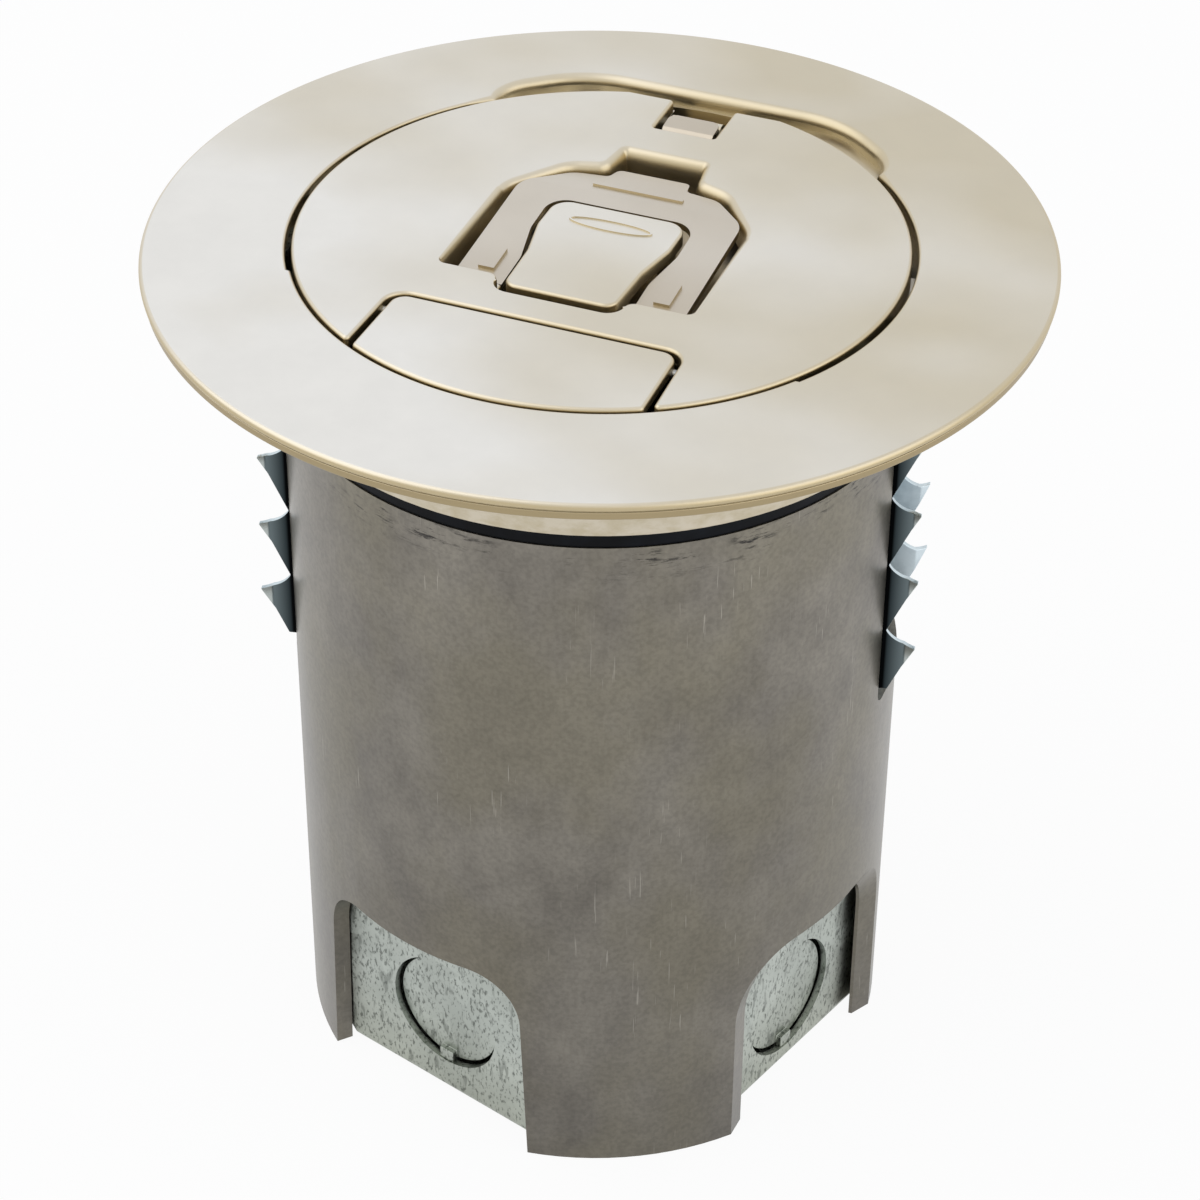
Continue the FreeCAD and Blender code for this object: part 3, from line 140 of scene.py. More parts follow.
def satin_nickel(name, cool=NICKEL_COOL, warm=NICKEL_WARM, edge=NICKEL_SIDE_SHADE, cast=0.0):
    """Satin nickel plate over a linished casting: painted light that runs from soft grey to cream across the
    piece, cream also in broad uneven blotches, painted gold shade and reflection on the faces that don't face
    up, painted shade on the second lip under the rim, and rough cast skin with painted shade on the faces
    that hang in the hole. Cast is how much of that skin and shade shows."""
    material, tree = new_material(name)
    place = add(tree, "TexCoord", give="Object")
    x, y, height = (add(tree, "SeparateXYZ", {"Vector": place}, axis) for axis in "XYZ")
    # Painted light: soft grey towards the key light at the front left, cream towards the rear right.
    across = add(tree, "Math", {0: x, 1: NICKEL_LIGHT_FALL_X}, operation="MULTIPLY")
    across = add(tree, "Math", {0: y, 1: NICKEL_LIGHT_FALL_Y, 2: across}, operation="MULTIPLY_ADD")
    across = add(tree, "MapRange", {"Value": across, "From Min": -NICKEL_LIGHT_FALL_MM * MM,
                                    "From Max": NICKEL_LIGHT_FALL_MM * MM, "To Min": -0.5, "To Max": 0.5})
    blotch = patches(tree, NICKEL_BLOTCH_MM, (1.5, 1, 1), 2.0, 0.55)
    blotch = add(tree, "MapRange", {"Value": blotch, "From Min": 0.3, "From Max": 0.7, "To Max": 0.9})
    tone = add(tree, "Math", {0: across, 1: blotch}, operation="ADD")
    colour = add(tree, "ValToRGB", {"Fac": tone}, stops=((0.0, cool), (1.0, warm)))
    smudge = patches(tree, NICKEL_SMUDGE_MM, detail=4.0, roughness=0.6)
    shade = add(tree, "ValToRGB", {"Fac": smudge}, stops=((0.35, 0.8), (0.7, 1.0)))
    colour = add(tree, "Mix", {0: 0.16, 6: colour, 7: shade}, 2, **DARKEN)

    # Painted shade and reflection: faces that turn away from the top, rolled edges most, take the warm gold
    # colour.
    upward = add(tree, "SeparateXYZ", {"Vector": add(tree, "TexCoord", give="Normal")}, "Z")
    side = add(tree, "ValToRGB", {"Fac": upward}, stops=((0.35, 1.0), (0.94, 0.45), (0.99, 0.0)))
    colour = add(tree, "Mix", {0: side, 6: colour, 7: edge}, 2, **OVER)
    # Painted shade: the sides of the second lip under the rim are darkened.
    low = add(tree, "MapRange", {"Value": height, "From Min": LIP_SHADE_Z[0] * MM,
                                 "From Max": LIP_SHADE_Z[1] * MM, "To Min": 1.0, "To Max": 0.0})
    radius = add(tree, "VectorMath", {0: place}, "Value", operation="LENGTH")
    outside = add(tree, "Math", {0: radius, 1: LIP_SHADE_R * MM}, operation="GREATER_THAN")
    lip = add(tree, "Math", {0: low, 1: side}, operation="MULTIPLY")
    lip = add(tree, "Math", {0: lip, 1: outside}, operation="MULTIPLY")
    colour = add(tree, "Mix", {0: lip, 6: colour, 7: NICKEL_LIP_SHADE}, 2, **OVER)

    # Cast skin with painted shade: faces that hang below the floor take darker, warmer colours.
    hung_shade = add(tree, "MapRange", {"Value": height, "From Min": HUNG_SHADE_Z[0] * MM, "From Max": HUNG_SHADE_Z[1] * MM,
                                  "To Min": cast, "To Max": 0.0})
    skin = patches(tree, NICKEL_SKIN_MM, (2, 2, 1), 4.0, 0.65)
    skin = add(tree, "ValToRGB", {"Fac": skin}, stops=((0.35, NICKEL_CAST_SHADE), (0.6, NICKEL_HUNG_SHADE)))
    colour = add(tree, "Mix", {0: hung_shade, 6: colour, 7: skin}, 2, **OVER)
    rough = add(tree, "MapRange", {"Value": smudge, "To Min": NICKEL_ROUGH[0], "To Max": NICKEL_ROUGH[1]})
    metal(tree, colour, rough, patches(tree, NICKEL_GRAIN_MM, detail=2.0, roughness=0.6), 0.006)
    return material


MERGE_M = 2e-6
FLAT_DEG = 0.4
SHARP_DEG = 32.0
SMOOTH_DEG = 40.0
EDGE_STEPS = 3
SLOT = {part["node"]: part["material_slot"] for part in frame["record"]["subparts"]}


def joined_form(node, radius_mm):
    """The node's own surface with its triangles joined, and a small radius on every edge sharper than
    SHARP_DEG: each such edge becomes a strip that turns from one face to the next in an arc."""
    form = bmesh.new()
    form.from_mesh(frame["nodes"][node].data)
    bmesh.ops.remove_doubles(form, verts=form.verts, dist=MERGE_M)
    bmesh.ops.dissolve_limit(form, angle_limit=math.radians(FLAT_DEG), verts=form.verts, edges=form.edges)
    sharp = [edge for edge in form.edges
             if len(edge.link_faces) == 2 and edge.calc_face_angle() > math.radians(SHARP_DEG)]
    bmesh.ops.bevel(form, geom=sharp, offset=radius_mm * MM, offset_type="OFFSET", segments=EDGE_STEPS,
                    profile=0.5, affect="EDGES", clamp_overlap=True)
    return form


def coat(piece, material):
    """Gives a piece its one material."""
    piece.data.materials.clear()
    piece.data.materials.append(material)


def dressed(node, form, material):
    """Puts a finished form in place of its node, on the same body, coated with the given material."""
    mesh = bpy.data.meshes.new(node + "_finish")
    form.to_mesh(mesh)
    form.free()
    mesh.shade_smooth()
    mesh.set_sharp_from_angle(angle=math.radians(SMOOTH_DEG))
    piece = bpy.data.objects.new(mesh.name, mesh)
    bpy.context.scene.collection.objects.link(piece)
    weighted = piece.modifiers.new("flat faces", "WEIGHTED_NORMAL")
    weighted.keep_sharp = True
    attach(piece, frame["nodes"][node]["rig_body"])
    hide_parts(node)
    coat(piece, material)


def arc(centre, radius, start_deg, end_deg, steps):
    """Points on a circle from one angle to another: centre + radius (cos, sin)."""
    angle = np.radians(np.linspace(start_deg, end_deg, steps))
    return np.stack([centre[0] + radius * np.cos(angle), centre[1] + radius * np.sin(angle)], 1)


def corner(before, at, after, radius, steps=9):
    """Arc round a corner, tangent to both its sides: it starts radius / tan(half angle) from the corner."""
    at = np.array(at, float)
    back, ahead = np.array(before, float) - at, np.array(after, float) - at
    back, ahead = back / np.linalg.norm(back), ahead / np.linalg.norm(ahead)
    half = math.acos(float(np.clip(back @ ahead, -1, 1))) / 2
    middle = (back + ahead) / np.linalg.norm(back + ahead)
    centre = at + middle * radius / math.sin(half)
    start, end = (at + side * radius / math.tan(half) - centre for side in (back, ahead))
    turn = math.atan2(start[0] * end[1] - start[1] * end[0], start @ end)
    angle = math.atan2(start[1], start[0]) + turn * np.linspace(0, 1, steps)
    return centre + radius * np.stack([np.cos(angle), np.sin(angle)], 1)


def outline(*parts):
    """Closed line through arrays of points and (x, y, radius) corners, each rounded between its
    neighbours."""
    ends = [(part[0], part[-1]) if isinstance(part, np.ndarray) else (part[:2], part[:2]) for part in parts]
    return np.concatenate([part if isinstance(part, np.ndarray)
                           else corner(ends[i - 1][1], part[:2], ends[(i + 1) % len(parts)][0], part[2])
                           for i, part in enumerate(parts)])


def both_sides(right):
    """Right-hand arcs and corners in turn, then the same on the left in reverse: x becomes -x."""
    left = [part[::-1] * (-1, 1) if isinstance(part, np.ndarray) else (-part[0], *part[1:])
            for part in reversed(right)]
    return [*right, *left]


def rings(line, reach, height):
    """Surface of two parameters, along a closed line and up a profile: point = line + reach * left normal,
    at height. The normal is longer at corners, so that sides stay parallel."""
    along = np.roll(line, -1, 0) - line
    along /= np.maximum(np.linalg.norm(along, axis=1, keepdims=True), 1e-9)
    left = np.stack([-along[:, 1], along[:, 0]], 1)
    both = left + np.roll(left, 1, 0)
    normal = both / np.maximum((both ** 2).sum(1, keepdims=True) / 2, 0.35)
    reach, height = (np.broadcast_to(np.asarray(value, float).T, (len(line), len(value))).T
                     for value in (reach, height))
    return np.concatenate([line + normal * reach[..., None], height[..., None]], 2)


def rolled_rings(line, radius, top, bottom, steps=7):
    """Wall with a rolled edge: up from the bottom, then a quarter circle on to the top face."""
    angle = np.linspace(0, math.pi / 2, steps)[:, None]
    radius = np.broadcast_to(np.asarray(radius, float), len(line))
    reach = np.concatenate([np.zeros((1, len(line))), radius * (1 - np.cos(angle))])
    height = np.concatenate([np.full((1, len(line)), bottom), top - radius * (1 - np.sin(angle))])
    return rings(line, reach, height)


def within(points, loop):
    """True for each point inside a closed loop: a line to its right crosses the loop an odd number of
    times."""
    x, y = points[:, 0, None], points[:, 1, None]
    (ax, ay), (bx, by) = loop.T, np.roll(loop, -1, 0).T
    spans = (ay > y) != (by > y)
    rise = np.where(by == ay, 1e-12, by - ay)
    return ((spans & (x < ax + (y - ay) * (bx - ax) / rise)).sum(1) % 2).astype(bool)


def flat_face(loops):
    """Points and triangles that fill the first loop outside the others."""
    flat, level = np.concatenate(loops)[:, :2], np.concatenate(loops)[:, 2]
    edges, start = [], 0
    for loop in loops:
        index = np.arange(len(loop))
        edges += np.stack([start + index, start + (index + 1) % len(loop)], 1).tolist()
        start += len(loop)
    corners = [Vector(point) for point in flat.tolist()]
    places, _, faces, origin, _, _ = delaunay_2d_cdt(corners, edges, [], 0, 1e-5)
    places, faces = np.array([place[:] for place in places]), np.array(faces)
    level = np.array([level[o[0]] if o else level.mean() for o in origin])
    middle = places[faces].mean(1)
    keep = within(middle, loops[0][:, :2])
    for loop in loops[1:]:
        keep &= ~within(middle, loop[:, :2])
    return np.column_stack([places, level]), faces[keep]


def closed_plate(form, *sides):
    """Adds a plate to a form: each side is rings from foot to top, the outer side first and anticlockwise,
    holes clockwise. Flat faces join the top rings, and others the foot rings."""
    points, faces, start = [], [], 0
    for side in sides:
        rows, count = side.shape[:2]
        row, column = np.meshgrid(np.arange(rows - 1) * count, np.arange(count), indexing="ij")
        after = (column + 1) % count
        quads = np.stack([row + column, row + after, row + count + after, row + count + column], 2)
        faces += (start + quads).reshape(-1, 4).tolist()
        points.append(side.reshape(-1, 3))
        start += rows * count
    for row, turn in ((-1, 1), (0, -1)):
        cap, triangles = flat_face([side[row] for side in sides])
        points.append(cap)
        faces += (start + triangles[:, ::turn]).tolist()
        start += len(cap)
    mesh = bpy.data.meshes.new("plate")
    mesh.from_pydata((np.concatenate(points) * MM).tolist(), [], faces)
    plate = bmesh.new()
    plate.from_mesh(mesh)
    bmesh.ops.remove_doubles(plate, verts=plate.verts, dist=MERGE_M)
    plate.to_mesh(mesh)
    plate.free()
    form.from_mesh(mesh)
    bpy.data.meshes.remove(mesh)
    return form


RIM_R = 98.5
RIM_TOP = 4.5
RIM_ROLL = 1.1
RIM_UNDER = 0.9
RIM_TURN = 0.8
RIM_CUT_Z = 2.1
LIP_INNER = 1.5
LIP_REACH = 0.55
LIP_TOP = 2.34
LIP_FOOT = 0.5
LID_CENTRE = (0, 1.0)
OPENING_R = 67.2
OPENING_SIDE_R = 67.9
OPENING_STEP_Y = -35.5
OPENING_ROLL = 0.75
# Right-hand corners of the hinge bay, from the front: x, y, radius
BAY = ((46.0, 57.5, 12), (31.0, 70.3, 26))
BAY_ROLL = 2.3
BAY_ROLL_Y = (46.0, 54.0)
CUT_ROUND = 0.2
CUT_LAP = 0.02


def below(node, cut_z):
    """The node's own surface under a level, its sharp edges rounded and the cut closed."""
    form = joined_form(node, CUT_ROUND)
    cut = bmesh.ops.bisect_plane(form, geom=form.verts[:] + form.edges[:] + form.faces[:], dist=1e-7,
                                 plane_co=(0, 0, cut_z * MM), plane_no=(0, 0, 1), clear_outer=True)
    edges = [item for item in cut["geom_cut"] if isinstance(item, bmesh.types.BMEdge)]
    bmesh.ops.triangle_fill(form, use_beauty=True, edges=edges)
    return form


def flange_rim():
    """Side of the disc: a second lip, then a rim that turns under by a quarter of an ellipse, with reach
    RIM_UNDER (1 - cos) and drop RIM_TURN sin, and rolls on to the top in a quarter circle."""
    angle = np.linspace(0, math.pi / 2, 8)
    under = np.linspace(-math.pi / 2, 0, 6)[:-1]
    waist = RIM_TOP - RIM_ROLL
    lip = np.array([(LIP_INNER, RIM_CUT_Z), (LIP_INNER, LIP_FOOT), (0.8, LIP_FOOT + 0.15),
                    (LIP_REACH, LIP_FOOT + 0.45), (LIP_REACH, LIP_TOP - 0.16),
                    (LIP_REACH + 0.05, LIP_TOP - 0.05), (LIP_REACH + 0.17, LIP_TOP), (1.05, LIP_TOP + 0.02)])
    reach = np.concatenate([lip[:, 0], RIM_UNDER * (1 - np.cos(under)), RIM_ROLL * (1 - np.cos(angle))])
    height = np.concatenate([lip[:, 1], waist + RIM_TURN * np.sin(under), waist + RIM_ROLL * np.sin(angle)])
    return rings(arc((0, 0), RIM_R, 0, 360, 289)[:-1], reach, height)


def lid_opening():
    """Edge round the lid: two arcs with a small step between them, then the hinge bay at the rear, where
    the roll is larger."""
    step = OPENING_STEP_Y - LID_CENTRE[1]
    wide = math.degrees(math.asin(step / OPENING_SIDE_R))
    narrow = math.degrees(math.asin(step / OPENING_R))
    bay = math.degrees(math.acos(BAY[0][0] / OPENING_SIDE_R))
    side = arc(LID_CENTRE, OPENING_SIDE_R, wide, bay, 90)
    front = arc(LID_CENTRE, OPENING_R, 180 - narrow, 360 + narrow, 90)
    line = outline(*both_sides([side, *BAY]), front)[::-1]
    front_y, rear_y = BAY_ROLL_Y
    deep = np.clip((line[:, 1] - front_y) / (rear_y - front_y), 0, 1)
    return rolled_rings(line, OPENING_ROLL + (BAY_ROLL - OPENING_ROLL) * deep, RIM_TOP, RIM_CUT_Z)


nickel = satin_nickel("satin nickel on cast zinc")
flange_nickel = satin_nickel("satin nickel on cast zinc, as cast below the floor", cast=FLANGE_CAST_AND_SHADE)
dressed("cover_flange", closed_plate(below("cover_flange", RIM_CUT_Z + CUT_LAP), flange_rim(), lid_opening()),
        flange_nickel)


# Round lid: zinc die casting, linished and nickel plated like the flange. Its knuckles turn on
# the hinge pin at the rear, and it carries the cable door, which has a spring hinge of its own.
LID_R = 66.6
LID_TOP = 4.9
LID_ROLL = 0.9
LID_CUT_Z = 2.05
LID_SIDE_DEG = (-57.5, 72.4)
# Right-hand corners of the lid and its door, as x, y, radius: beside the door, and round the notch
LID_TOE = (33.5, -56.6, 1.0)
LID_NOTCH = ((18.4, 65.0, 1.1), (7.3, 65.0, 1.1), (7.3, 51.2, 0.8))
DOOR_BAY = (32.8, -34.9, 4.7)
DOOR_SIDE = ((32.0, -57.4, 1.1), (31.6, -35.9, 3.5))
DOOR_FRONT_DEG = (242.8, 297.2)
DOOR_CUT_Z = 2.8
# Right-hand corners of the recess, from the paddle's bay to the finger notch: x, y, radius
RECESS = ((14.2, -26.6, 3.5), (14.2, -20.7, 2.6), (28.6, -20.7, 1.5), (28.6, 15.5, 9), (19.0, 29.0, 8),
          (11.2, 31.6, 2.6), (10.0, 40.2, 1.4))
# Guide points of its wall's curve: reach out from the corners' line, height
RECESS_CURVE = ((-1.2, 0.8), (-1.05, 3.4), (-0.5, LID_TOP), (1.3, LID_TOP))
RECESS_FOOT = -1.25
RECESS_SKIRT_Z = -1.2
RECESS_WALL = 0.8
RECESS_FRONT_LEAN = 0.22
RECESS_FRONT_BACK = 0.42
RECESS_LEAN_Y = (-22.0, 12.0)


def recess_wall():
    """Wall of the recess: a skirt up to the plate, then a cubic curve that leans back and rolls on to the
    top. It leans least at the front, where the handle's feet stand close to it."""
    line = outline(*both_sides(RECESS))[::-1]
    front, rear = RECESS_LEAN_Y
    lean = np.clip((line[:, 1] - front) / (rear - front), 0, 1)
    lean = RECESS_FRONT_LEAN + (1 - RECESS_FRONT_LEAN) * lean * lean * (3 - 2 * lean)
    t = np.linspace(0, 1, 10)[:, None]
    weight = np.concatenate([(1 - t) ** 3, 3 * t * (1 - t) ** 2, 3 * t * t * (1 - t), t ** 3], 1)
    reach, height = (weight @ np.array(RECESS_CURVE)).T
    reach = np.concatenate([[RECESS_FOOT + RECESS_WALL, RECESS_FOOT + RECESS_WALL, RECESS_FOOT], reach])
    height = np.concatenate([[LID_CUT_Z, RECESS_SKIRT_Z, RECESS_SKIRT_Z], height])
    reach = reach[:, None] * lean + RECESS_FRONT_BACK * (1 - lean)
    return rings(line, reach, np.broadcast_to(height[:, None], reach.shape))


def lid_rim():
    """Edge of the lid: its arc, the flat at the rear with the hinge notch, and the cable door's opening."""
    side = arc(LID_CENTRE, LID_R, *LID_SIDE_DEG, 110)
    line = outline(*both_sides([DOOR_BAY, LID_TOE, side, *LID_NOTCH]))
    return rolled_rings(line, LID_ROLL, LID_TOP, LID_CUT_Z)


def door_rim():
    """Edge of the cable door: the lid's arc in front, and three sides with rounded corners."""
    line = outline(arc(LID_CENTRE, LID_R, *DOOR_FRONT_DEG, 60), *both_sides(DOOR_SIDE))
    return rolled_rings(line, LID_ROLL, LID_TOP, DOOR_CUT_Z)


def finish(node, material, radius_mm):
    """Rounds a node's edges and coats it."""
    dressed(node, joined_form(node, radius_mm), material)


dressed("lid", closed_plate(below("lid", LID_CUT_Z + CUT_LAP), lid_rim(), recess_wall()), nickel)
dressed("egress_door", closed_plate(below("egress_door", DOOR_CUT_Z + CUT_LAP), door_rim()), nickel)
finish("hinge_bracket", nickel, 0.25)


# Lift handle and the pan that carries it: steel pressings, nickel plated, painted a shade darker than the
# castings as painted shade on their sloping faces. The release paddle is cast, and the leaf in the hinge
# notch is plated spring steel, in the same darker colours.
PRESSED_SHADE_COOL = "#D3CEC6"
PRESSED_SHADE_WARM = "#B9AF9F"
HANDLE_WIDEN = 1.024
HANDLE_LEG_X = 23.0


def stretched(form, scale, beyond_mm):
    """The form with its outer points scaled: point = point * scale where it lies more than beyond_mm from
    the middle, measured along the directions that are scaled."""
    mesh = bpy.data.meshes.new("stretched")
    form.to_mesh(mesh)
    places = np.empty(len(mesh.vertices) * 3)
    mesh.vertices.foreach_get("co", places)
    places, scale = places.reshape(-1, 3), np.array(scale)
    far = np.linalg.norm(places * (scale != 1), axis=1, keepdims=True) > beyond_mm * MM
    mesh.vertices.foreach_set("co", np.where(far, places * scale, places).ravel())
    form.clear()
    form.from_mesh(mesh)
    bpy.data.meshes.remove(mesh)
    return form


# Both nickels for pressings use the darker colours, as painted shade.
shaded_pressed_nickel = satin_nickel("satin nickel on pressed steel, painted a shade darker", PRESSED_SHADE_COOL, PRESSED_SHADE_WARM)
spring_nickel = satin_nickel("satin nickel on spring steel", PRESSED_SHADE_COOL, PRESSED_SHADE_WARM, PRESSED_SHADE_WARM)
dressed("lift_handle", stretched(joined_form("lift_handle", 0.45), (HANDLE_WIDEN, 1, 1), HANDLE_LEG_X),
        shaded_pressed_nickel)
finish("release_paddle", nickel, 0.6)
finish("latch_pan", shaded_pressed_nickel, 0.2)
finish("hinge_detent_leaf", spring_nickel, 0.15)


# Gasket between the flange's neck and the body: a moulded ring of black neoprene, glossy where
# the mould was polished. The grommet and the lid's seal are of the same rubber.
RUBBER_DARK = "#06080C"
RUBBER_DUSTY = "#12161D"
RUBBER_DUST_MM = 7.0
RUBBER_GRAIN_MM = 0.8
GASKET_INSET = 0.987
GASKET_OUTER_R = 69.0


def moulded_rubber(name):
    """Black neoprene from a polished mould: dark, half gloss, a little dusty in patches."""
    material, tree = new_material(name)
    dust = patches(tree, RUBBER_DUST_MM, detail=4.0)
    colour = add(tree, "ValToRGB", {"Fac": dust}, stops=((0.4, RUBBER_DARK), (0.75, RUBBER_DUSTY)))
    rough = add(tree, "MapRange", {"Value": dust, "To Min": 0.22, "To Max": 0.5})
    grain = add(tree, "Bump", {"Height": patches(tree, RUBBER_GRAIN_MM), "Distance": 0.02 * MM})
    surface = add(tree, "BsdfPrincipled", {"Base Color": colour, "Roughness": rough, "Normal": grain,
                                           "Specular IOR Level": 0.1})
    add(tree, "OutputMaterial", {"Surface": surface})
    return material


rubber = moulded_rubber("moulded black neoprene")
gasket = stretched(joined_form("flange_gasket", 0.5), (GASKET_INSET, GASKET_INSET, 1), GASKET_OUTER_R)
dressed("flange_gasket", gasket, rubber)
finish("cable_grommet", rubber, 0.4)
finish("lid_seal", rubber, 0.2)


# Body: a deep-drawn steel tube, left bare under a film of oil. Drawing leaves fine upright lines
# and dark patches, and handling leaves scuffs under the top edge and a few short scratches.
STEEL_LIGHT = "#928D83"
STEEL_DARK = "#77726A"
STEEL_OLIVE = "#857F6D"
STEEL_SCUFF = "#33302D"
STEEL_SCRATCH = "#C9C4BA"
STEEL_CLOUD_MM = 24.0
STEEL_TINT_MM = 31.0
STEEL_MOTTLE_MM = 5.5
STEEL_PIT_MM = 1.1
DRAW_LINE_MM = 0.5
SCUFF_Z = (-40.0, -24.0)
SCUFF_MM = 1.3
SCUFF_PATCH_MM = 15.0
SCRATCH_MM = 0.45
SCRATCH_PATCH_MM = 26.0
SHADE_FALL_Z = (-200.0, -30.0)
OIL_FILM = {"Coat Weight": 0.45, "Coat Roughness": 0.22, "Coat IOR": 1.5}


def drawn_steel(name):
    """Bare drawn steel: warm grey, fine upright lines, cloudy patches and dark scuffs near the top."""
    material, tree = new_material(name)
    height = add(tree, "SeparateXYZ", {"Vector": add(tree, "TexCoord", give="Object")}, "Z")
    cloud = patches(tree, STEEL_CLOUD_MM, (1, 1, 1.3), 6.0, 0.66)
    colour = add(tree, "ValToRGB", {"Fac": cloud}, stops=((0.34, STEEL_DARK), (0.64, STEEL_LIGHT)))
    tint = patches(tree, STEEL_TINT_MM, (1, 1, 1.5), 3.0)
    tint = add(tree, "ValToRGB", {"Fac": tint}, stops=((0.42, 0.0), (0.6, 0.6)))
    colour = add(tree, "Mix", {0: tint, 6: colour, 7: STEEL_OLIVE}, 2, **OVER)

    lines = patches(tree, DRAW_LINE_MM, (1, 1, 30), 3.0, 0.6)
    mottle = patches(tree, STEEL_MOTTLE_MM, (1, 1, 1.2), 5.0, 0.7)
    pits = patches(tree, STEEL_PIT_MM, detail=4.0)
    for weight, pattern, stops in ((0.28, mottle, ((0.36, 0.66), (0.62, 1.0))),
                                   (0.3, pits, ((0.36, 0.5), (0.6, 1.0))),
                                   (0.14, lines, ((0.3, 0.72), (0.7, 1.0)))):
        shade = add(tree, "ValToRGB", {"Fac": pattern}, stops=stops)
        colour = add(tree, "Mix", {0: weight, 6: colour, 7: shade}, 2, **DARKEN)

    near_top = add(tree, "MapRange", {"Value": height, "From Min": SCUFF_Z[0] * MM,
                                      "From Max": SCUFF_Z[1] * MM})
    near_top = add(tree, "ValToRGB", {"Fac": near_top}, stops=((0.25, 0.0), (0.6, 1.0)))
    smear = patches(tree, SCUFF_MM, (6, 6, 1), 5.0, 0.75)
    smear = add(tree, "ValToRGB", {"Fac": smear}, stops=((0.53, 0.0), (0.61, 1.0)))
    rubbed = patches(tree, SCUFF_PATCH_MM)
    rubbed = add(tree, "ValToRGB", {"Fac": rubbed}, stops=((0.44, 0.0), (0.54, 1.0)))
    scuff = add(tree, "Math", {0: near_top, 1: smear}, operation="MULTIPLY")
    scuff = add(tree, "Math", {0: scuff, 1: rubbed}, operation="MULTIPLY")
    colour = add(tree, "Mix", {0: scuff, 6: colour, 7: STEEL_SCUFF}, 2, **OVER)

    scratch = patches(tree, SCRATCH_MM, (1, 1, 26), 1.0, 0.5, (0.9, 0.35, 0))
    scratch = add(tree, "ValToRGB", {"Fac": scratch}, stops=((0.70, 0.0), (0.73, 0.35)))
    worn = patches(tree, SCRATCH_PATCH_MM, detail=1.0)
    worn = add(tree, "ValToRGB", {"Fac": worn}, stops=((0.56, 0.0), (0.64, 1.0)))
    scratch = add(tree, "Math", {0: scratch, 1: worn}, operation="MULTIPLY")
    colour = add(tree, "Mix", {0: scratch, 6: colour, 7: STEEL_SCRATCH}, 2, **OVER)

    # Painted shade: the steel is darkened towards the floor.
    shade_fall = add(tree, "MapRange", {"Value": height, "From Min": SHADE_FALL_Z[0] * MM, "From Max": SHADE_FALL_Z[1] * MM})
    shade_fall = add(tree, "ValToRGB", {"Fac": shade_fall}, stops=((0.0, 0.7), (1.0, 1.0)))
    colour = add(tree, "Mix", {0: 1.0, 6: colour, 7: shade_fall}, 2, **DARKEN)
    rough = add(tree, "MapRange", {"Value": cloud, "To Min": 0.38, "To Max": 0.56})
    metal(tree, colour, rough, lines, 0.008, OIL_FILM)
    return material


finish("body_shell", drawn_steel("bare drawn steel"), 0.3)


# Junction box and the other pressings: hot-dip galvanised sheet, pale grey-green, with dark
# flecks where the zinc lies thin, all drawn one way by the rolling of the sheet.
ZINC_LIGHT = "#C3C9C3"
ZINC_GREY = "#A4AAA4"
ZINC_FLECK = "#5E635E"
ZINC_BOTTOM_TINT = "#B9B49A"
ZINC_BOTTOM_TINT_Z = (-200.0, -175.0)
SPANGLE_MM = 7.0
ZINC_CLOUD_MM = 18.0
FLECK_MM = 0.75
STREAK_MM = 1.9


def galvanised(name):
    """Galvanised sheet: pale spangles a few millimetres wide under a scatter of dark slanting flecks."""
    material, tree = new_material(name)
    place = add(tree, "TexCoord", give="Object")
    spangle = add(tree, "TexVoronoi", {"Vector": place, "Scale": 1 / (SPANGLE_MM * MM)}, "Color")
    tone = add(tree, "SeparateColor", {0: spangle})
    colour = add(tree, "ValToRGB", {"Fac": tone}, stops=((0.0, ZINC_GREY), (1.0, ZINC_LIGHT)))
    cloud = patches(tree, ZINC_CLOUD_MM, detail=4.0)
    clouded = add(tree, "ValToRGB", {"Fac": cloud}, stops=((0.35, ZINC_GREY), (0.65, ZINC_LIGHT)))
    colour = add(tree, "Mix", {0: 0.5, 6: colour, 7: clouded}, 2, **OVER)
    streak = patches(tree, STREAK_MM, (1, 1, 3.5), 2.0, 0.5, (0.5, 0.9, 0))
    streak = add(tree, "ValToRGB", {"Fac": streak}, stops=((0.6, 0.0), (0.68, 0.5)))
    colour = add(tree, "Mix", {0: streak, 6: colour, 7: ZINC_FLECK}, 2, **OVER)
    fleck = patches(tree, FLECK_MM, (1, 1, 2.0), 3.0, 0.6, (0.5, 0.6, 0))
    fleck = add(tree, "ValToRGB", {"Fac": fleck}, stops=((0.53, 0.0), (0.64, 0.8)))
    colour = add(tree, "Mix", {0: fleck, 6: colour, 7: ZINC_FLECK}, 2, **OVER)
    # Darker and more yellow towards the bottom.
    height = add(tree, "SeparateXYZ", {"Vector": place}, "Z")
    low = add(tree, "MapRange", {"Value": height, "From Min": ZINC_BOTTOM_TINT_Z[0] * MM,
                                 "From Max": ZINC_BOTTOM_TINT_Z[1] * MM, "To Min": 0.38, "To Max": 0.0})
    colour = add(tree, "Mix", {0: low, 6: colour, 7: ZINC_BOTTOM_TINT}, 2, **DARKEN)
    rough = add(tree, "MapRange", {"Value": tone, "To Min": 0.34, "To Max": 0.5})
    metal(tree, colour, rough, cloud, 0.02)
    return material


zinc_sheet = galvanised("galvanised sheet steel")
for node in ("junction_box", "knockout_discs", "partition_plate", "socket_pan", "clip_pocket_left",
             "clip_pocket_right", "strike_plates", "bolt_guides", "power_outlet_strap", "divider"):
    finish(node, zinc_sheet, 0.2)


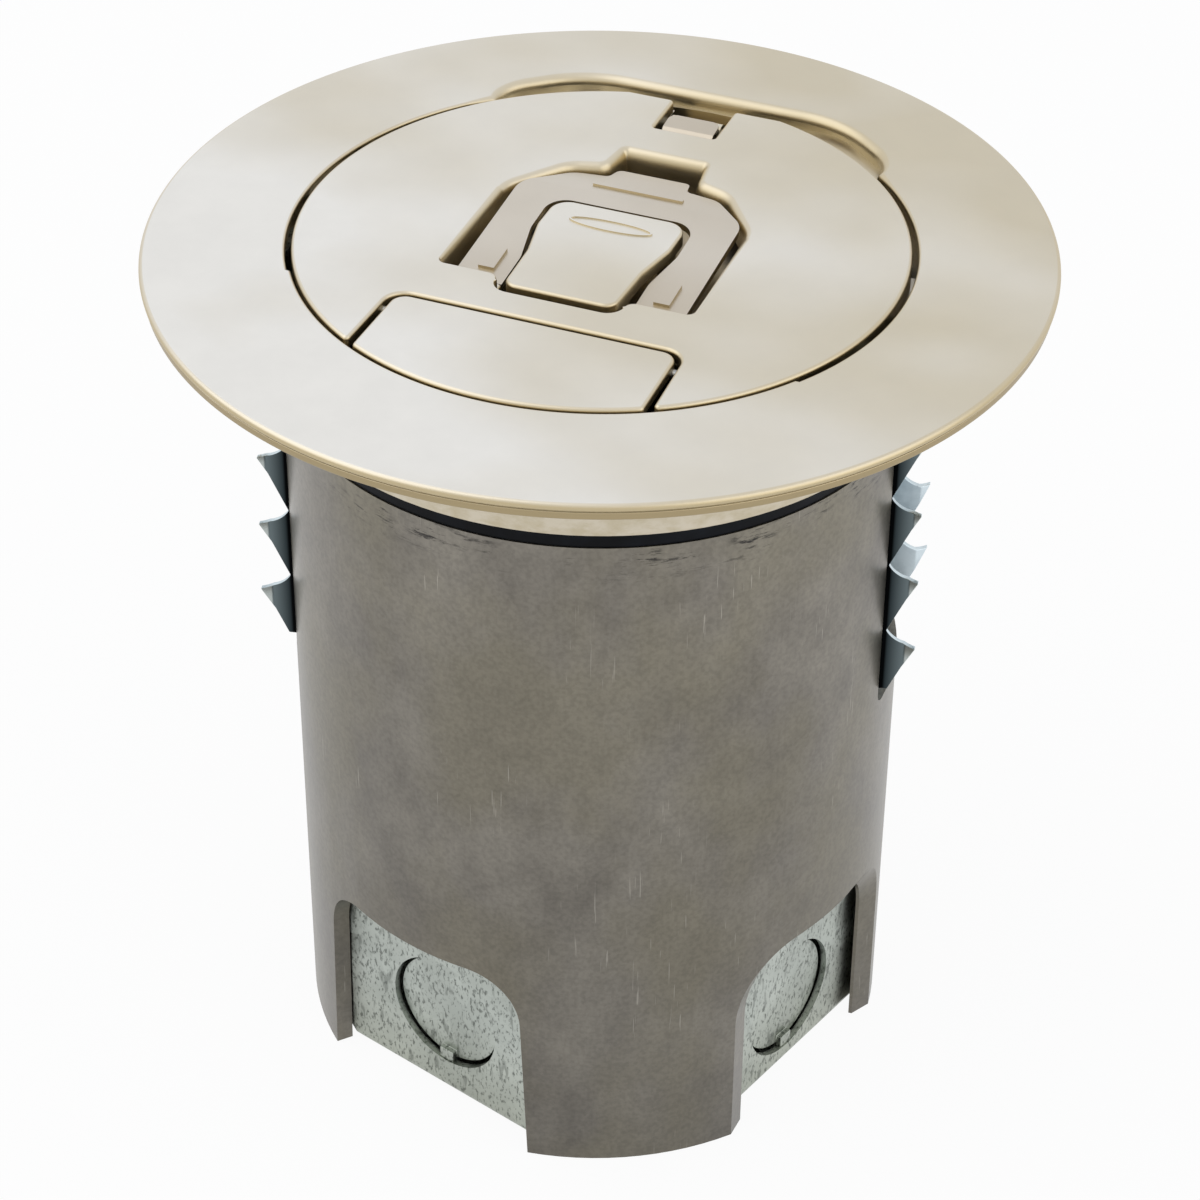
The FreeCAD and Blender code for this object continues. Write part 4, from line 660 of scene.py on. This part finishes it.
# Retaining clips: spring steel pressed to a channel with saw teeth, then zinc plated with a blue
# passivate. They bite into the wall of the hole when the box is pushed down.
BLUE_ZINC_LIGHT = "#D3DFE5"
BLUE_ZINC_DARK = "#AAB9C1"
OUTER_SHADE_LIGHT = "#667174"
OUTER_SHADE_DARK = "#2E3639"
ROOT_SHADOW = "#040506"
CLIP_TIP_HIGHLIGHT = "#B9C0BE"
CLIP_TURN_DEG = 13.3
CLIP_ROW_MM = 18.7
CLIP_TEETH_MM = (66.0, 74.0)
CLIP_CLOUD_MM = 9.0
PLATE_GRAIN_MM = 0.6


def clip_zinc(name):
    """Passivated spring steel, pale blue inside. Painted shade in dark slate on the outward faces
    of both tooth rows grows paler from a black painted shadow at the root to the tips, which carry
    a painted highlight."""
    material, tree = new_material(name)
    place, normal = add(tree, "TexCoord", give="Object"), add(tree, "TexCoord", give="Normal")
    lean = math.radians(CLIP_TURN_DEG)
    across = (-math.sin(lean), math.cos(lean), 0)
    off_middle = add(tree, "VectorMath", {0: place, 1: across}, "Value", operation="DOT_PRODUCT")
    facing = add(tree, "VectorMath", {0: normal, 1: across}, "Value", operation="DOT_PRODUCT")
    outward = add(tree, "Math", {0: off_middle, 1: facing}, operation="MULTIPLY")
    outer = add(tree, "MapRange", {"Value": outward, "From Min": 0.3 * CLIP_ROW_MM * MM,
                                   "From Max": 0.7 * CLIP_ROW_MM * MM})
    along = add(tree, "VectorMath", {0: place, 1: (math.cos(lean), math.sin(lean), 0)}, "Value",
                operation="DOT_PRODUCT")
    reach = add(tree, "Math", {0: along}, operation="ABSOLUTE")
    reach = add(tree, "MapRange", {"Value": reach, "From Min": CLIP_TEETH_MM[0] * MM,
                                   "From Max": CLIP_TEETH_MM[1] * MM})
    # Painted shade on the outward faces: a black painted shadow at the root, paler towards the tips.
    outer_shade = add(tree, "ValToRGB", {"Fac": reach},
                stops=((0.2, ROOT_SHADOW), (0.27, OUTER_SHADE_DARK), (0.7, OUTER_SHADE_LIGHT)))
    # Painted highlight on the tooth tips.
    tip_highlight = add(tree, "ValToRGB", {"Fac": reach}, stops=((0.74, 0.0), (0.78, 1.0)))
    outer_shade = add(tree, "Mix", {0: tip_highlight, 6: outer_shade, 7: CLIP_TIP_HIGHLIGHT}, 2, **OVER)
    cloud = patches(tree, CLIP_CLOUD_MM, detail=4.0)
    pale = add(tree, "ValToRGB", {"Fac": cloud}, stops=((0.35, BLUE_ZINC_DARK), (0.6, BLUE_ZINC_LIGHT)))
    colour = add(tree, "Mix", {0: outer, 6: pale, 7: outer_shade}, 2, **OVER)
    rough = add(tree, "MapRange", {"Value": cloud, "To Min": 0.3, "To Max": 0.45})
    metal(tree, colour, rough, patches(tree, PLATE_GRAIN_MM), 0.006)
    return material


clip_steel = clip_zinc("blue zinc on spring steel, painted shade and highlights")
finish("retaining_clip_right", clip_steel, 0.15)
finish("retaining_clip_left", clip_steel, 0.15)


# Fasteners, pins, bolts and springs: screws turned and zinc plated, pins ground from stainless
# steel, springs wound from drawn wire. The wire is too thin for a rounded edge to show.
BRIGHT_CLOUD_MM = 11.0


def bright_steel(name, light, dark):
    """Plated, ground or drawn steel: smooth and half gloss, with faint cloudy patches."""
    material, tree = new_material(name)
    cloud = patches(tree, BRIGHT_CLOUD_MM, detail=3.0)
    colour = add(tree, "ValToRGB", {"Fac": cloud}, stops=((0.35, dark), (0.65, light)))
    rough = add(tree, "MapRange", {"Value": cloud, "To Min": 0.22, "To Max": 0.36})
    metal(tree, colour, rough, patches(tree, PLATE_GRAIN_MM), 0.006)
    return material


STEEL_OF = {"zinc_screws": bright_steel("clear zinc plate", "#B9BCBD", "#8C9092"),
            "stainless_pins": bright_steel("ground stainless steel", "#A7A7A5", "#8A8A88"),
            "spring_wire": bright_steel("drawn spring wire", "#77797B", "#55585A")}
for node, slot_name in SLOT.items():
    if slot_name in STEEL_OF and node != "hinge_detent_leaf":
        if "spring" in node:
            coat(frame["nodes"][node], STEEL_OF[slot_name])
        else:
            finish(node, STEEL_OF[slot_name], 0.12)


# Outlets: moulded plastics, gloss white for the power face and matt black round the data jacks,
# with the fine grain that a spark-eroded mould leaves. The earth screw is dyed green.
PLASTIC_TONE_MM = 12.0
PLASTIC_GRAIN_MM = 0.25


def moulded(name, colour, shade, rough):
    """Injection-moulded plastic: nearly even in colour, with a fine grain."""
    material, tree = new_material(name)
    tone = patches(tree, PLASTIC_TONE_MM, detail=3.0)
    paint = add(tree, "ValToRGB", {"Fac": tone}, stops=((0.3, shade), (0.7, colour)))
    grain = add(tree, "Bump", {"Height": patches(tree, PLASTIC_GRAIN_MM), "Distance": 0.008 * MM})
    gloss = add(tree, "MapRange", {"Value": tone, "To Min": rough, "To Max": rough + 0.08})
    surface = add(tree, "BsdfPrincipled", {"Base Color": paint, "Normal": grain, "Roughness": gloss})
    add(tree, "OutputMaterial", {"Surface": surface})
    return material


finish("power_outlet_face", moulded("gloss white nylon", "#E9E7E0", "#DEDBD2", 0.25), 0.3)
finish("power_outlet_housing", moulded("matt black phenolic", "#232323", "#1A1A1A", 0.5), 0.3)
finish("data_plate", moulded("matt black ABS", "#26272A", "#1B1C1E", 0.45), 0.3)
finish("data_jacks", moulded("blue polycarbonate", "#2C4C8C", "#213C72", 0.3), 0.2)
finish("earth_screw", moulded("green dyed zinc plate", "#2F7D45", "#245F35", 0.3), 0.15)


# Stage: a sheet of white paper under the box and a pale studio all round, with one soft box to the
# left and one to the right. The camera stands where the photograph was taken from.
CAMERA_AZIMUTH = -68.7
CAMERA_ELEVATION = 36.65
CAMERA_DISTANCE_MM = 735.8
CAMERA_DOWN_MM = 76.85
CAMERA_RIGHT_MM = 0.66
CAMERA_ROLL_DEG = 0.504
CAMERA_LENS_MM = 102.9
CAMERA_SENSOR_MM = 36.0
TARGET_Z_MM = 4.5
FLOOR_Z_MM = -202.6
FLOOR_HALF_MM = 3000.0
STUDIO = "#F4F6FA"
STUDIO_LEVEL = 0.75
PAPER = "#F2F2F2"
PAPER_GLOW = 0.93
WHITE = "#FFFFFF"
LIGHT_AIM = (0, 0, -0.08)


def place_camera():
    """Looks along a line through the flange's centre, moved down so that the whole box is in the frame."""
    azimuth, elevation = math.radians(CAMERA_AZIMUTH), math.radians(CAMERA_ELEVATION)
    back = Vector((math.cos(azimuth) * math.cos(elevation), math.sin(azimuth) * math.cos(elevation),
                   math.sin(elevation)))
    right = Vector((-math.sin(azimuth), math.cos(azimuth), 0))
    up = back.cross(right)
    place = Vector((0, 0, TARGET_Z_MM)) + back * CAMERA_DISTANCE_MM
    place = (place + right * CAMERA_RIGHT_MM - up * CAMERA_DOWN_MM) * MM
    roll = math.radians(CAMERA_ROLL_DEG)
    right, up = right * math.cos(roll) + up * math.sin(roll), up * math.cos(roll) - right * math.sin(roll)
    data = bpy.data.cameras.new("camera")
    data.lens, data.sensor_width = CAMERA_LENS_MM, CAMERA_SENSOR_MM
    camera = bpy.data.objects.new("camera", data)
    bpy.context.scene.collection.objects.link(camera)
    rows = [(right[i], up[i], back[i], place[i]) for i in range(3)]
    camera.matrix_world = Matrix([*rows, (0, 0, 0, 1)])
    bpy.context.scene.camera = camera


def seen_directly(tree):
    """1 for rays that show the background itself: from the camera, in a reflection or through glass."""
    seen, mirrored, through = (add(tree, "LightPath", give="Is %s Ray" % kind)
                               for kind in ("Camera", "Glossy", "Transmission"))
    total = add(tree, "Math", {0: seen, 1: mirrored}, operation="ADD")
    return add(tree, "Math", {0: total, 1: through}, operation="ADD", use_clamp=True)


def light_panel(name, size, watts, place):
    """Square soft box that faces the part."""
    data = bpy.data.lights.new(name, "AREA")
    data.shape, data.size, data.energy = "SQUARE", size, watts
    lamp = bpy.data.objects.new(name, data)
    bpy.context.scene.collection.objects.link(lamp)
    lamp.location = place
    lamp.rotation_euler = (Vector(LIGHT_AIM) - Vector(place)).to_track_quat("-Z", "Y").to_euler()


world = bpy.data.worlds.new("studio")
bpy.context.scene.world = world
world.use_nodes = True
sky = world.node_tree
sky.nodes.clear()
soft = add(sky, "Background", {"Color": STUDIO, "Strength": STUDIO_LEVEL})
seen = add(sky, "Background", {"Color": WHITE, "Strength": 1.0})
both = add(sky, "MixShader", {0: seen_directly(sky), 1: soft, 2: seen})
add(sky, "OutputWorld", {"Surface": both})

half, level = FLOOR_HALF_MM * MM, FLOOR_Z_MM * MM
floor_mesh = bpy.data.meshes.new("floor")
floor_corners = [(-half, -half, level), (half, -half, level), (half, half, level), (-half, half, level)]
floor_mesh.from_pydata(floor_corners, [], [(0, 1, 2, 3)])
floor = bpy.data.objects.new("floor", floor_mesh)
bpy.context.scene.collection.objects.link(floor)
paper, tree = new_material("white paper sweep")
matt = add(tree, "BsdfDiffuse", {"Color": PAPER})
glow = add(tree, "Emission", {"Color": WHITE, "Strength": 1.0})
part_glow = add(tree, "Math", {0: seen_directly(tree), 1: PAPER_GLOW}, operation="MULTIPLY")
add(tree, "OutputMaterial", {"Surface": add(tree, "MixShader", {0: part_glow, 1: matt, 2: glow})})
coat(floor, paper)

light_panel("key soft box", 1.8, 7.4, (-0.9, -0.5, 1.1))
light_panel("fill soft box", 2.0, 8.0, (1.45, -0.35, 0.35))

bpy.context.scene.view_settings.view_transform = "Standard"
place_camera()
